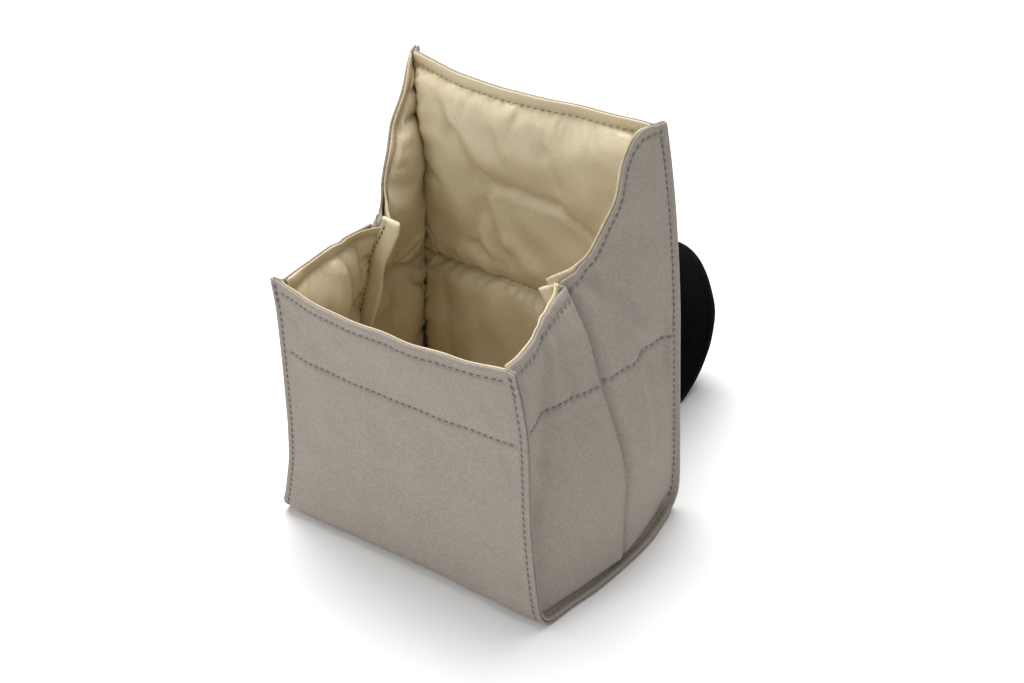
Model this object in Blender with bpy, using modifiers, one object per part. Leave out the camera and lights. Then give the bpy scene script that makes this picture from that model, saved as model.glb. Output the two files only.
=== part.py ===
"""Camera pouch: twill body with pleated sides, padded satin lining, bound pleat seams and a loop of webbing.

Metres. X runs to the right of the front view, Y from the front to the back, Z up. The origin is on the
floor under the middle of the body. Each sheet is an open surface, its outer face, with a wall grown inwards.
"""

import math

import bpy
import numpy as np

# Body, measured over the sewn fins
BASE_WIDTH = 0.125
FRONT_RIM_TAPER = 0.012
BACK_RIM_TAPER = 0.0084
DEPTH = 0.093
FRONT_HEIGHT = 0.112
BACK_HEIGHT = 0.169
FRONT_FOLD_RADIUS = 0.008
BACK_FOLD_RADIUS = 0.010
FRONT_BOW = 0.007
FRONT_BOW_POWER = 2.4
BACK_BOW = 0.006
BACK_BOW_POWER = 1.5
BASE_SPREAD = 0.0028

# Side pleats
PLEAT_PLACE = 0.001
PLEAT_RIM_HEIGHT = 0.119
PLEAT_RIM_TUCK = 0.017
PLEAT_BELLY_BULGE = 0.008
PLEAT_LIP = 0.002
LIP_REACH = 0.006
SIDE_FOLD_HEIGHT = 0.008
SIDE_DENT = 0.005
SIDE_PUFF = 0.0018

# Cloth, tape and webbing
TWILL = 0.001
GAP = 0.0003
FIN = 0.004
BACK_FIN_TURN = math.radians(70)
QUILT_HEIGHT = 0.081
LINING_SEAM = 0.0012
LINING_LOFT = 0.0034
LINING_HEM = 0.0025
LINING_SLANT = 1.4
LINING_REACH = 0.010
SEAM_ROOM = 0.0008
TAPE_WIDTH = 0.010
TAPE_THICKNESS = 0.0022
TAPE_STAND = 0.0012
TAPE_FOOT = 0.0112
WEBBING_WIDTH = 0.050
WEBBING = 0.002
LOOP_REACH = 0.088
LOOP_HEIGHT = 0.093

# What follows from them
FRONT_RIM_WIDTH = BASE_WIDTH - FRONT_RIM_TAPER
BACK_RIM_WIDTH = BASE_WIDTH - BACK_RIM_TAPER
PLEAT_RIM_SPREAD = BASE_WIDTH / 2 - PLEAT_RIM_TUCK
PLEAT_BELLY_SPREAD = BASE_WIDTH / 2 + PLEAT_BELLY_BULGE
TWO_WALLS = 2 * TWILL + GAP
LINING_INSET = TWILL + GAP
SIDE_LINING_INSET = LINING_INSET + LINING_SEAM + SEAM_ROOM
BACK_FIN_REACH = FIN * math.sin(BACK_FIN_TURN)
BACK_PLANE = DEPTH / 2 - BACK_FIN_REACH

# The strip that makes the front, the base and the back. Lengths are shares: of the panel's run, counted from
# the front rim; of the way from the base's width to the rim's; of the base's spread; of the bow; of the turn.
WRAP_COLUMNS = ("panel", "run", "to_rim_width", "spread", "bow", "fin_turn")
WRAP_SECTIONS = (
    ("front", 0.00, 1.00, 0.0, 1.00, 0.0),
    ("front", 0.12, 0.87, 0.0, 0.78, 0.0),
    ("front", 0.26, 0.74, 0.0, 0.48, 0.0),
    ("front", 0.54, 0.72, 0.0, 0.22, 0.0),
    ("front", 0.72, 0.56, 0.0, 0.10, 0.0),
    ("front", 1.00, 0.00, 0.0, 0.00, 0.0),
    ("base", 0.25, 0.00, 0.8, 0.00, 0.0),
    ("base", 0.50, 0.00, 1.0, 0.00, 0.0),
    ("base", 0.80, 0.00, 0.7, 0.00, 0.0),
    ("base", 0.95, 0.00, 0.4, 0.00, 0.0),
    ("back", 0.00, 0.00, 0.3, 0.00, 0.3),
    ("back", 0.06, 0.00, 0.3, 0.00, 0.8),
    ("back", 0.15, 0.00, 0.2, 0.00, 1.0),
    ("back", 0.50, 0.06, 0.0, 0.00, 1.0),
    ("back", 0.64, 0.24, 0.0, 0.12, 1.0),
    ("back", 0.77, 0.48, 0.0, 0.45, 1.0),
    ("back", 0.91, 0.76, 0.0, 0.82, 1.0),
    ("back", 1.00, 1.00, 0.0, 1.00, 1.0),
)

# The pleat's crease: share of its rim height, share of the way from its rim spread to its belly spread
PLEAT_CREASE = (
    (0.00, 0.90),
    (0.13, 0.93),
    (0.24, 0.96),
    (0.36, 1.00),
    (0.42, 0.97),
    (0.50, 0.88),
    (0.60, 0.73),
    (0.68, 0.60),
    (0.85, 0.37),
    (0.93, 0.18),
    (1.00, 0.00),
)

# The side's rim: share of the way from its corner to the pleat, share of the height between them
FRONT_RIM_CURVE = ((0.0, 0.0), (0.2, 0.0), (0.4, 0.08), (0.6, 0.42), (0.8, 0.80), (1.0, 1.0))
RIGHT_BACK_RIM_CURVE = (
    (0.00, 1.00),
    (0.12, 1.03),
    (0.22, 1.025),
    (0.31, 0.975),
    (0.39, 0.86),
    (0.47, 0.69),
    (0.56, 0.50),
    (0.68, 0.30),
    (0.83, 0.13),
    (1.00, 0.00),
)
LEFT_BACK_RIM_CURVE = (
    (0.00, 1.00),
    (0.14, 0.91),
    (0.29, 0.77),
    (0.49, 0.60),
    (0.63, 0.45),
    (0.74, 0.32),
    (0.84, 0.16),
    (0.93, 0.03),
    (1.00, 0.00),
)

# The dent along the quilting line: share of the way from the corner to the pleat, share of SIDE_DENT. The
# dent and the puff below it fade over shares of the quilting line's height.
DENT_FADE = 0.28
PUFF_LEVEL = 0.5
PUFF_FADE = 0.3
FRONT_DENT = ((0.0, 0.0), (0.13, 0.2), (0.33, 0.75), (0.52, 1.0), (0.66, 0.76), (0.82, 0.35), (1.0, 0.0))
BACK_DENT = ((0.0, 0.0), (0.25, 0.2), (0.45, -0.1), (0.62, -0.45), (0.80, -0.25), (1.0, 0.0))

# The webbing's route: share of its reach behind the back panel, share of its height
LOOP_ROUTE = (
    (0.00, 0.66),
    (0.00, 0.84),
    (0.02, 0.91),
    (0.09, 0.97),
    (0.21, 1.00),
    (0.36, 0.995),
    (0.50, 0.96),
    (0.63, 0.895),
    (0.76, 0.80),
    (0.88, 0.66),
    (0.96, 0.50),
    (1.00, 0.34),
    (0.97, 0.21),
    (0.89, 0.10),
    (0.79, 0.03),
    (0.70, 0.00),
    (0.36, 0.00),
    (0.16, 0.005),
    (0.08, 0.035),
    (0.03, 0.09),
    (0.00, 0.17),
    (0.00, 0.36),
)

# Steps of the meshes: a fold's number is even, so that its middle is a station
FRONT_STEPS, FOLD_STEPS, HALF_BASE_STEPS, BACK_STEPS = 8, 6, 6, 12
WRAP_STEPS = 7
LOOP_STEPS = 46
TAPE_STEPS = 12

SMOOTH_ANGLE = math.radians(50)
TINY = 0.00001


def curve(table, at):
    """A smooth curve through a table's (place, value) rows that never overshoots them."""
    place, value = np.array(table, float).T
    rise = np.diff(value) / np.diff(place)
    product = rise[:-1] * rise[1:]
    total = rise[:-1] + rise[1:]
    slope = np.concatenate(([rise[0]], np.zeros(len(rise) - 1), [rise[-1]]))
    bends = product > 0
    slope[1:-1][bends] = 2 * product[bends] / total[bends]
    first = np.clip(np.searchsorted(place, at, side="right") - 1, 0, len(place) - 2)
    step = place[first + 1] - place[first]
    t = np.clip((at - place[first]) / step, 0, 1)
    start = value[first] * (1 - t) ** 2 * (1 + 2 * t) + slope[first] * step * t * (1 - t) ** 2
    end = value[first + 1] * t**2 * (3 - 2 * t) - slope[first + 1] * step * t**2 * (1 - t)
    return start + end


# Lengths along the strip, from the front rim
FRONT_RUN = FRONT_HEIGHT - FRONT_FOLD_RADIUS
FRONT_ARC = FRONT_RUN + FRONT_FOLD_RADIUS * math.pi / 2
BASE_RUN = FRONT_ARC + BACK_PLANE + DEPTH / 2 - FRONT_FOLD_RADIUS - BACK_FOLD_RADIUS
BACK_ARC = BASE_RUN + BACK_FOLD_RADIUS * math.pi / 2
STRIP_LENGTH = BACK_ARC + BACK_HEIGHT - BACK_FOLD_RADIUS
FRONT_CORNER = (FRONT_RUN + FRONT_ARC) / 2
BACK_CORNER = (BASE_RUN + BACK_ARC) / 2
PLEAT_ON_STRIP = FRONT_ARC + PLEAT_PLACE + DEPTH / 2 - FRONT_FOLD_RADIUS
FRONT_QUILT_LINE = FRONT_HEIGHT - QUILT_HEIGHT
BACK_QUILT_LINE = BACK_ARC + QUILT_HEIGHT - BACK_FOLD_RADIUS
PANEL_SPANS = {
    "front": (0.0, FRONT_CORNER),
    "base": (FRONT_CORNER, BACK_CORNER),
    "back": (BACK_CORNER, STRIP_LENGTH),
}


def section_curve(column, along):
    """One column of WRAP_SECTIONS as a smooth curve along the strip."""
    index = WRAP_COLUMNS.index(column)
    rows = []
    for row in WRAP_SECTIONS:
        start, end = PANEL_SPANS[row[0]]
        rows.append((start + (end - start) * row[1], row[index]))
    return curve(rows, along)


def wrap_path(along):
    """(y, z, angle) of the strip's outer face. Its outward normal is (-cos, -sin) of the angle in Y and Z."""
    first_turn = np.clip((along - FRONT_RUN) / FRONT_FOLD_RADIUS, 0, math.pi / 2)
    second_turn = np.clip((along - BASE_RUN) / BACK_FOLD_RADIUS, 0, math.pi / 2)
    across_base = np.clip(along - FRONT_ARC, 0, BASE_RUN - FRONT_ARC)
    up_back = np.clip(along - BACK_ARC, 0, None)
    y = -DEPTH / 2 + FRONT_FOLD_RADIUS * (1 - np.cos(first_turn)) + across_base
    y = y + BACK_FOLD_RADIUS * np.sin(second_turn)
    z = FRONT_HEIGHT - np.clip(along, 0, FRONT_RUN) - FRONT_FOLD_RADIUS * np.sin(first_turn)
    z = z + BACK_FOLD_RADIUS * (1 - np.cos(second_turn)) + up_back
    return y, z, first_turn + second_turn


def seam_lines(along):
    """The right-hand seam: the fin's root on the strip, its direction, and the way to the side sheet."""
    y, z, angle = wrap_path(along)
    turn = BACK_FIN_TURN * section_curve("fin_turn", along)
    to_rim = section_curve("to_rim_width", along)
    rim_width = np.where(along < FRONT_CORNER, FRONT_RIM_WIDTH, BACK_RIM_WIDTH)
    half_width = (BASE_WIDTH + (rim_width - BASE_WIDTH) * to_rim) / 2
    half_width = half_width + BASE_SPREAD * section_curve("spread", along)
    root_x = half_width - FIN * np.cos(turn) - TWO_WALLS * np.sin(turn)
    root = np.stack([root_x, y, z], axis=-1)
    normal = np.stack([np.zeros_like(y), -np.cos(angle), -np.sin(angle)], axis=-1)
    outward = np.zeros_like(normal) + (1.0, 0.0, 0.0)
    cos, sin = np.cos(turn)[:, None], np.sin(turn)[:, None]
    return root, cos * outward + sin * normal, sin * outward - cos * normal


def strip_stations():
    """Lengths along the strip of every mesh row, so that sheets that meet there bend at the same places."""
    stretches = (
        (0.0, FRONT_RUN, FRONT_STEPS),
        (FRONT_RUN, FRONT_ARC, FOLD_STEPS),
        (FRONT_ARC, PLEAT_ON_STRIP, HALF_BASE_STEPS),
        (PLEAT_ON_STRIP, BASE_RUN, HALF_BASE_STEPS),
        (BASE_RUN, BACK_ARC, FOLD_STEPS),
        (BACK_ARC, STRIP_LENGTH, BACK_STEPS),
    )
    parts = [np.linspace(start, end, steps + 1)[:-1] for start, end, steps in stretches]
    rows = np.concatenate(parts + [[STRIP_LENGTH]])
    for line in (FRONT_QUILT_LINE, BACK_QUILT_LINE):
        rows[np.argmin(np.abs(rows - line))] = line
    return rows


def wrap_surface(along, across, half_width, inset):
    """The strip as a grid, inset from its outer face: rows along it, columns from the middle to its edge."""
    y, z, angle = wrap_path(along)
    amount = section_curve("bow", along)[:, None]
    outwards = FRONT_BOW * (1 - np.abs(across) ** FRONT_BOW_POWER)
    inwards = -BACK_BOW * (1 - across**2) ** BACK_BOW_POWER
    lift = np.where(along[:, None] < FRONT_CORNER, outwards, inwards) * amount - inset
    x = half_width[:, None] * across[None, :]
    y = y[:, None] - np.cos(angle)[:, None] * lift
    z = z[:, None] - np.sin(angle)[:, None] * lift
    return np.stack([x, y, z], axis=-1)


def band(lower, upper):
    """Triangles between two lines of point numbers, each cell cut from its lower start to its upper end."""
    first = np.stack([lower[:-1], lower[1:], upper[1:]], axis=-1)
    second = np.stack([lower[:-1], upper[1:], upper[:-1]], axis=-1)
    return np.concatenate([first, second])


def grid(rows, columns):
    """Triangles of a rows by columns grid of points, numbered row by row."""
    numbers = np.arange(rows * columns).reshape(rows, columns)
    return np.concatenate([band(numbers[row], numbers[row + 1]) for row in range(rows - 1)])


def pillow(share, hem):
    """Loft across a quilted field: 0 on its edges and along a hem, 1 over its middle."""
    inner = np.clip((share - hem) / (1 - 2 * hem), 0, 1)
    return 1 - (2 * inner - 1) ** 4


def material(name, colour, roughness):
    made = bpy.data.materials.new(name)
    made.use_nodes = True
    shader = made.node_tree.nodes["Principled BSDF"]
    shader.inputs["Base Color"].default_value = (*colour, 1)
    shader.inputs["Roughness"].default_value = roughness
    shader.inputs["Metallic"].default_value = 0
    return made


def sheet(name, points, faces, wall, finish, loft=None, mirror=False, offset=-1):
    """An object from an open surface: mirrored if it is half a piece, then given its wall."""
    mesh = bpy.data.meshes.new(name)
    mesh.from_pydata(points.reshape(-1, 3).tolist(), [], faces.tolist())
    mesh.validate()
    mesh.materials.append(finish)
    made = bpy.data.objects.new(name, mesh)
    pouch.objects.link(made)
    if loft is not None:
        group = made.vertex_groups.new(name="loft")
        for index, weight in enumerate(loft.ravel() / wall):
            group.add([index], float(weight), "REPLACE")
    if mirror:
        half = made.modifiers.new("other half", "MIRROR")
        half.use_clip = True
        half.merge_threshold = 0.00005
    grown = made.modifiers.new("wall", "SOLIDIFY")
    grown.thickness = wall
    grown.offset = offset
    grown.use_even_offset = True
    if loft is not None:
        grown.vertex_group = "loft"
        grown.thickness_vertex_group = 0
    mesh.shade_smooth()
    mesh.set_sharp_from_angle(angle=SMOOTH_ANGLE)
    return made


def build_outer_wrap():
    along = strip_stations()
    root, fin_way, _ = seam_lines(along)
    across = np.linspace(0, 1, WRAP_STEPS + 1)
    body = wrap_surface(along, across, root[:, 0], 0)
    points = np.concatenate([body, (root + FIN * fin_way)[:, None]], axis=1)
    faces = grid(*points.shape[:2])[:, ::-1]
    return sheet("outer_wrap", points, faces, TWILL, twill, mirror=True)


def strip_loft(along):
    """Share of the full loft along the strip: none at the rims and on the two quilting lines."""
    shares = np.zeros_like(along)
    fields = ((0, FRONT_QUILT_LINE), (FRONT_QUILT_LINE, BACK_QUILT_LINE), (BACK_QUILT_LINE, STRIP_LENGTH))
    for start, end in fields:
        inside = (along >= start) & (along <= end)
        hem = LINING_HEM / (end - start)
        shares[inside] = pillow((along[inside] - start) / (end - start), hem)
    return shares


def build_lining_wrap():
    along = strip_stations()
    root, _, to_side = seam_lines(along)
    half_width = root[:, 0] + TWO_WALLS * to_side[:, 0] - TWILL - SEAM_ROOM
    across = np.linspace(0, 1, WRAP_STEPS + 1)
    points = wrap_surface(along, across, half_width, LINING_INSET)
    hem = LINING_HEM / BASE_WIDTH
    loft = strip_loft(along)[:, None] * pillow(0.5 + across / 2, hem)[None, :]
    loft = LINING_SEAM + (LINING_LOFT - LINING_SEAM) * loft
    faces = grid(*points.shape[:2])[:, ::-1]
    return sheet("lining_wrap", points, faces, LINING_LOFT, satin, loft=loft, mirror=True)


def crease_x(z):
    outwards = curve(PLEAT_CREASE, z / PLEAT_RIM_HEIGHT)
    return PLEAT_RIM_SPREAD + (PLEAT_BELLY_SPREAD - PLEAT_RIM_SPREAD) * outwards


def side_seam(end):
    """Stations of a half side's seam: its upright stretch from the base's corner up, and the base's from that
    corner to the pleat."""
    along = strip_stations()
    if end == "front":
        upright = along[along <= FRONT_CORNER + TINY][::-1]
        base = along[(along >= FRONT_CORNER - TINY) & (along <= PLEAT_ON_STRIP + TINY)]
    else:
        upright = along[along >= BACK_CORNER - TINY]
        base = along[(along >= PLEAT_ON_STRIP - TINY) & (along <= BACK_CORNER + TINY)][::-1]
    return upright, base


def side_field(end, side, inset):
    """(y, z) grid of a half side, rows up and columns from its corner to the pleat, inset from the strip.
    Rows and columns keep the seam's stations, and one row is the quilting line."""
    upright, base = side_seam(end)

    def inside(along):
        y, z, angle = wrap_path(along)
        return np.stack([y + np.cos(angle) * inset(along), z + np.sin(angle) * inset(along)], axis=-1)

    left, bottom = inside(upright), inside(base)
    u = ((bottom[:, 0] - bottom[0, 0]) / (bottom[-1, 0] - bottom[0, 0]))[None, :, None]
    height = FRONT_HEIGHT if end == "front" else BACK_HEIGHT
    if end == "front":
        rim_z = height + (PLEAT_RIM_HEIGHT - height) * curve(FRONT_RIM_CURVE, u.ravel())
    else:
        rim = RIGHT_BACK_RIM_CURVE if side > 0 else LEFT_BACK_RIM_CURVE
        rim_z = PLEAT_RIM_HEIGHT + (height - PLEAT_RIM_HEIGHT) * curve(rim, u.ravel())
    pleat_y = bottom[-1, 0] + (-GAP / 2 if end == "front" else GAP / 2)
    rim_y = left[-1, 0] + (pleat_y - left[-1, 0]) * u.ravel()
    top = np.stack([rim_y, rim_z], axis=-1)
    pleat_levels = (bottom[-1, 1], QUILT_HEIGHT, PLEAT_RIM_HEIGHT)
    pleat_z = np.interp(left[:, 1], (left[0, 1], QUILT_HEIGHT, height), pleat_levels)
    right = np.stack([np.full_like(pleat_z, pleat_y), pleat_z], axis=-1)
    bottom[-1, 0] = pleat_y
    v = ((left[:, 1] - left[0, 1]) / (left[-1, 1] - left[0, 1]))[:, None, None]
    sides = left[:, None] * (1 - u) + right[:, None] * u
    ends = bottom[None] * (1 - v) + top[None] * v
    corners = (left[0] * (1 - u) + right[0] * u) * (1 - v) + (left[-1] * (1 - u) + right[-1] * u) * v
    return sides + ends - corners


def side_depth(end, y, z):
    """X of a half side's outer face over (y, z): from its seam to the crease, folded in at the base."""
    upright, base = side_seam(end)
    corner_line, _, to_side = seam_lines(upright)
    corner_line = corner_line + TWO_WALLS * to_side
    base_line, _, to_side = seam_lines(base)
    base_line = base_line + TWO_WALLS * to_side
    share = np.clip((y - corner_line[-1, 1]) / (PLEAT_PLACE - corner_line[-1, 1]), 0, 1)
    corner_x = np.interp(z, corner_line[:, 2], corner_line[:, 0])
    wall = corner_x + (crease_x(z) - corner_x) * share
    level = z / QUILT_HEIGHT
    dent = curve(FRONT_DENT if end == "front" else BACK_DENT, share)
    wall = wall - SIDE_DENT * dent * np.exp(-(((level - 1) / DENT_FADE) ** 2))
    wall = wall + SIDE_PUFF * np.sin(math.pi * share) * np.exp(-(((level - PUFF_LEVEL) / PUFF_FADE) ** 2))
    order = np.argsort(base_line[:, 1])
    base_x = np.interp(y, base_line[order, 1], base_line[order, 0])
    base_z = np.interp(y, base_line[order, 1], base_line[order, 2])
    up = np.clip((z - base_z) / SIDE_FOLD_HEIGHT, 0, 1)
    return base_x + (wall - base_x) * up**2 * (3 - 2 * up)


def outward_faces(points, faces, side):
    """The same surface on the given side of the body (1 is right, -1 is left), with its faces outwards."""
    if side < 0:
        return points * (-1.0, 1.0, 1.0), faces[:, ::-1]
    return points, faces


def build_side(end, side):
    """Half of a side: its field, the fin that follows the strip's, and the front half's turned lip."""
    upright, base = side_seam(end)

    def to_strip(along):
        return TWO_WALLS * np.cos(BACK_FIN_TURN * section_curve("fin_turn", along))

    field = side_field(end, side, to_strip)
    y, z = field[..., 0], field[..., 1]
    x = side_depth(end, y, z)
    if end == "back":
        x = x - PLEAT_LIP * np.clip(1 - (y - PLEAT_PLACE) / LIP_REACH, 0, 1) ** 2
    points = np.stack([x, y, z], axis=-1)
    along = np.concatenate([upright[::-1], base[1:]])
    root, fin_way, to_side = seam_lines(along)
    seam = root + TWO_WALLS * to_side
    rows, columns = points.shape[:2]
    seam[-1, 1] = y[0, -1]
    points[::-1, 0] = seam[:rows]
    points[0] = seam[rows - 1 :]
    edge = np.concatenate([np.arange(rows)[::-1] * columns, np.arange(1, columns)])
    fin_edge = rows * columns + np.arange(len(edge))
    if end == "front":
        fin = band(edge, fin_edge)[:, ::-1]
    else:
        fin = band(edge[::-1], fin_edge[::-1])
    faces = [grid(rows, columns), fin]
    cloud = [points.reshape(-1, 3), seam + FIN * fin_way]
    if end == "front":
        lip = points[1:, -1] - (PLEAT_LIP, 0, 0)
        crease = np.arange(1, rows) * columns + columns - 1
        lip_edge = rows * columns + len(edge) + np.arange(rows - 1)
        faces.append(band(crease, lip_edge)[:, ::-1])
        cloud.append(lip)
    faces = np.concatenate(faces)
    if end == "back":
        faces = faces[:, ::-1]
    points, faces = outward_faces(np.concatenate(cloud), faces, side)
    names = {"front": "side_front_", "back": "side_rear_"}
    return sheet(names[end] + ("right" if side > 0 else "left"), points, faces, TWILL, twill)


def moved_in(points, distance):
    """The grid of a side moved inwards, far enough in X to lie the distance behind itself."""
    normal = np.cross(np.gradient(points, axis=1), np.gradient(points, axis=0))
    lean = np.abs(normal[..., 0]) / np.linalg.norm(normal, axis=-1)
    return points - np.stack([distance / lean, np.zeros_like(lean), np.zeros_like(lean)], axis=-1)


def build_side_lining(end, side):
    """Half of a side's padded lining, behind the twill and drawn in behind the crease."""

    def to_strip(along):
        return np.full_like(along, SIDE_LINING_INSET)

    field = side_field(end, side, to_strip)
    y, z = field[..., 0], field[..., 1]
    away = np.clip(1 - np.abs(y - PLEAT_PLACE) / LINING_REACH, 0, 1)
    x = side_depth(end, y, z) - (PLEAT_LIP + GAP) * away**2
    points = moved_in(np.stack([x, y, z], axis=-1), LINING_INSET + GAP)
    height = z[:, 0]
    rim, foot = height[-1], height[0]
    across = pillow(np.abs(y[-1] - y[-1, 0]) / abs(y[-1, -1] - y[-1, 0]), 2 * LINING_HEM / DEPTH)
    lower = pillow((height - foot) / (QUILT_HEIGHT - foot), LINING_HEM / QUILT_HEIGHT)
    upper = pillow((height - QUILT_HEIGHT) / (rim - QUILT_HEIGHT), LINING_HEM / (rim - QUILT_HEIGHT))
    upward = np.where(height < QUILT_HEIGHT, lower, upper)
    loft = LINING_SEAM + (LINING_LOFT - LINING_SEAM) * upward[:, None] * across[None, :]
    faces = grid(*points.shape[:2])
    if end == "back":
        faces = faces[:, ::-1]
    points, faces = outward_faces(points.reshape(-1, 3), faces, side)
    names = {"front": "lining_side_front_", "back": "lining_side_rear_"}
    return sheet(names[end] + ("right" if side > 0 else "left"), points, faces, LINING_LOFT, satin, loft=loft)


def build_binding(side):
    """The folded tape round the pleat's seam, on edge inside the pouch."""
    behind_crease = PLEAT_LIP + LINING_SLANT * (LINING_INSET + GAP + LINING_SEAM) + 3 * GAP
    z = np.linspace(SIDE_LINING_INSET + TAPE_FOOT, PLEAT_RIM_HEIGHT + TAPE_STAND, TAPE_STEPS + 1)
    y = np.full_like(z, PLEAT_PLACE)
    root = np.stack([side_depth("front", y, z) - behind_crease, y, z], axis=-1)
    slope = np.gradient(root, axis=0)
    slope = slope / np.linalg.norm(slope, axis=-1, keepdims=True)
    inward = np.stack([-slope[:, 2], np.zeros_like(z), slope[:, 0]], axis=-1)
    inward[0] = (-1, 0, 0)
    points = np.stack([root, root + TAPE_WIDTH * inward], axis=1)
    points, faces = outward_faces(points.reshape(-1, 3), grid(len(z), 2), side)
    name = "binding_right" if side > 0 else "binding_left"
    return sheet(name, points, faces, TAPE_THICKNESS, cotton_tape, offset=0)


def build_belt_loop():
    """Wide webbing, sewn flat to the back panel at both ends, bulging out behind it and down to the floor."""
    reach, height = np.array(LOOP_ROUTE).T
    near = BACK_PLANE + GAP + WEBBING / 2
    y = near + (LOOP_REACH - WEBBING) * reach
    z = WEBBING / 2 + (LOOP_HEIGHT - WEBBING) * height
    travel = np.concatenate([[0], np.cumsum(np.hypot(np.diff(y), np.diff(z)))])
    stations = np.linspace(0, travel[-1], LOOP_STEPS + 1)
    y = curve(np.stack([travel, y], axis=-1), stations)
    z = curve(np.stack([travel, z], axis=-1), stations)
    half = np.full_like(y, WEBBING_WIDTH / 2)
    points = np.stack([np.stack([-half, y, z], axis=-1), np.stack([half, y, z], axis=-1)], axis=1)
    return sheet("belt_loop", points, grid(len(y), 2), WEBBING, webbing, offset=0)


for leftover in list(bpy.data.objects):
    bpy.data.objects.remove(leftover, do_unlink=True)

pouch = bpy.data.collections.new("camera_pouch")
bpy.context.scene.collection.children.link(pouch)

twill = material("grey twill", (0.33, 0.30, 0.27), 0.9)
satin = material("khaki satin", (0.47, 0.40, 0.27), 0.45)
cotton_tape = material("cream tape", (0.78, 0.72, 0.52), 0.8)
webbing = material("black webbing", (0.012, 0.012, 0.012), 0.85)

build_outer_wrap()
build_lining_wrap()
for hand in (1, -1):
    for half_side in ("front", "back"):
        build_side(half_side, hand)
        build_side_lining(half_side, hand)
    build_binding(hand)
build_belt_loop()
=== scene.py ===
"""Camera pouch in warm grey twill with a quilted satin lining: the looks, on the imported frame.

Metres. X runs to the right of the front view, Y from the front to the back, Z up.
"""

import bpy
import numpy as np
from mathutils import Matrix, Vector


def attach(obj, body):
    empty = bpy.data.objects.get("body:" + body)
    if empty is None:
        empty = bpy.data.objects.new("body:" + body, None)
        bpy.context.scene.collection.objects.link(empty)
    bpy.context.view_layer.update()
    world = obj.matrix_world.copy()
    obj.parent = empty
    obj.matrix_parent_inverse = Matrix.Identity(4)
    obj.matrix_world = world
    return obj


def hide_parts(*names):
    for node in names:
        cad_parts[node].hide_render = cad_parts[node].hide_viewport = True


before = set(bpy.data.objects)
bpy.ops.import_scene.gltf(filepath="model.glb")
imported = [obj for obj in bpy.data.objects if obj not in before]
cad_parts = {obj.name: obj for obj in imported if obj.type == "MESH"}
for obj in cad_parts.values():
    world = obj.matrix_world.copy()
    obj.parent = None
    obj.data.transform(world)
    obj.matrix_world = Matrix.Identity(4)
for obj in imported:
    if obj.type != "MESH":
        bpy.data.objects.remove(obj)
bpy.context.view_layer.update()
scene = bpy.context.scene
pi = np.pi


# The camera looks down on the pouch from its right front corner. Its place was fitted to the corners of the
# pouch in the photograph.
AZIMUTH, ELEVATION, ROLL = np.radians((38.79, 33.46, -2.72))
DISTANCE = 0.8181
TARGET = Vector((0.0197, 0.0, 0.0868))
LENS = 77.34
backward = Vector((
    np.sin(AZIMUTH) * np.cos(ELEVATION),
    -np.cos(AZIMUTH) * np.cos(ELEVATION),
    np.sin(ELEVATION),
))
level = Vector((np.cos(AZIMUTH), np.sin(AZIMUTH), 0))
upward = backward.cross(level)
turned = Matrix((
    level * np.cos(ROLL) + upward * np.sin(ROLL),
    upward * np.cos(ROLL) - level * np.sin(ROLL),
    backward,
)).transposed()
camera = bpy.data.objects.new("camera", bpy.data.cameras.new("camera"))
camera.data.lens = LENS
camera.data.sensor_width = 36
camera.matrix_world = Matrix.Translation(TARGET + backward * DISTANCE) @ turned.to_4x4()
scene.collection.objects.link(camera)
scene.camera = camera


# Studio: a white sheet of card on a table, a wide soft light overhead and a little behind, and a weaker one
# from the front.
FLOOR_HALF = 4.0
OVERHEAD = {"place": (-0.35, 0.35, 1.5), "size": 1.1, "power": 29}
FRONT_FILL = {"place": (-0.5, -1.5, 1.2), "size": 1.2, "power": 8}
card = bpy.data.meshes.new("floor_card")
card.from_pydata(
    [(x * FLOOR_HALF, y * FLOOR_HALF, 0) for x, y in ((-1, -1), (1, -1), (1, 1), (-1, 1))],
    [],
    [(0, 1, 2, 3)],
)
floor = bpy.data.objects.new("floor_card", card)
scene.collection.objects.link(floor)
card_white = bpy.data.materials.new("white card")
card_white.use_nodes = True
card_white.node_tree.nodes["Principled BSDF"].inputs["Base Color"].default_value = (0.9, 0.9, 0.9, 1)
card_white.node_tree.nodes["Principled BSDF"].inputs["Roughness"].default_value = 0.8
card.materials.append(card_white)

for name, light in (("overhead", OVERHEAD), ("front_fill", FRONT_FILL)):
    lamp = bpy.data.lights.new(name, "AREA")
    lamp.shape = "SQUARE"
    lamp.size = light["size"]
    lamp.energy = light["power"]
    holder = bpy.data.objects.new(name, lamp)
    place = Vector(light["place"])
    facing = (place - TARGET).to_track_quat("Z", "Y").to_matrix().to_4x4()
    holder.matrix_world = Matrix.Translation(place) @ facing
    scene.collection.objects.link(holder)

room = bpy.data.worlds.new("room")
scene.world = room
room.use_nodes = True
room.node_tree.nodes["Background"].inputs["Color"].default_value = (1, 1, 1, 1)
room.node_tree.nodes["Background"].inputs["Strength"].default_value = 0.5
scene.view_settings.view_transform = "Standard"
scene.view_settings.look = "None"


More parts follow.
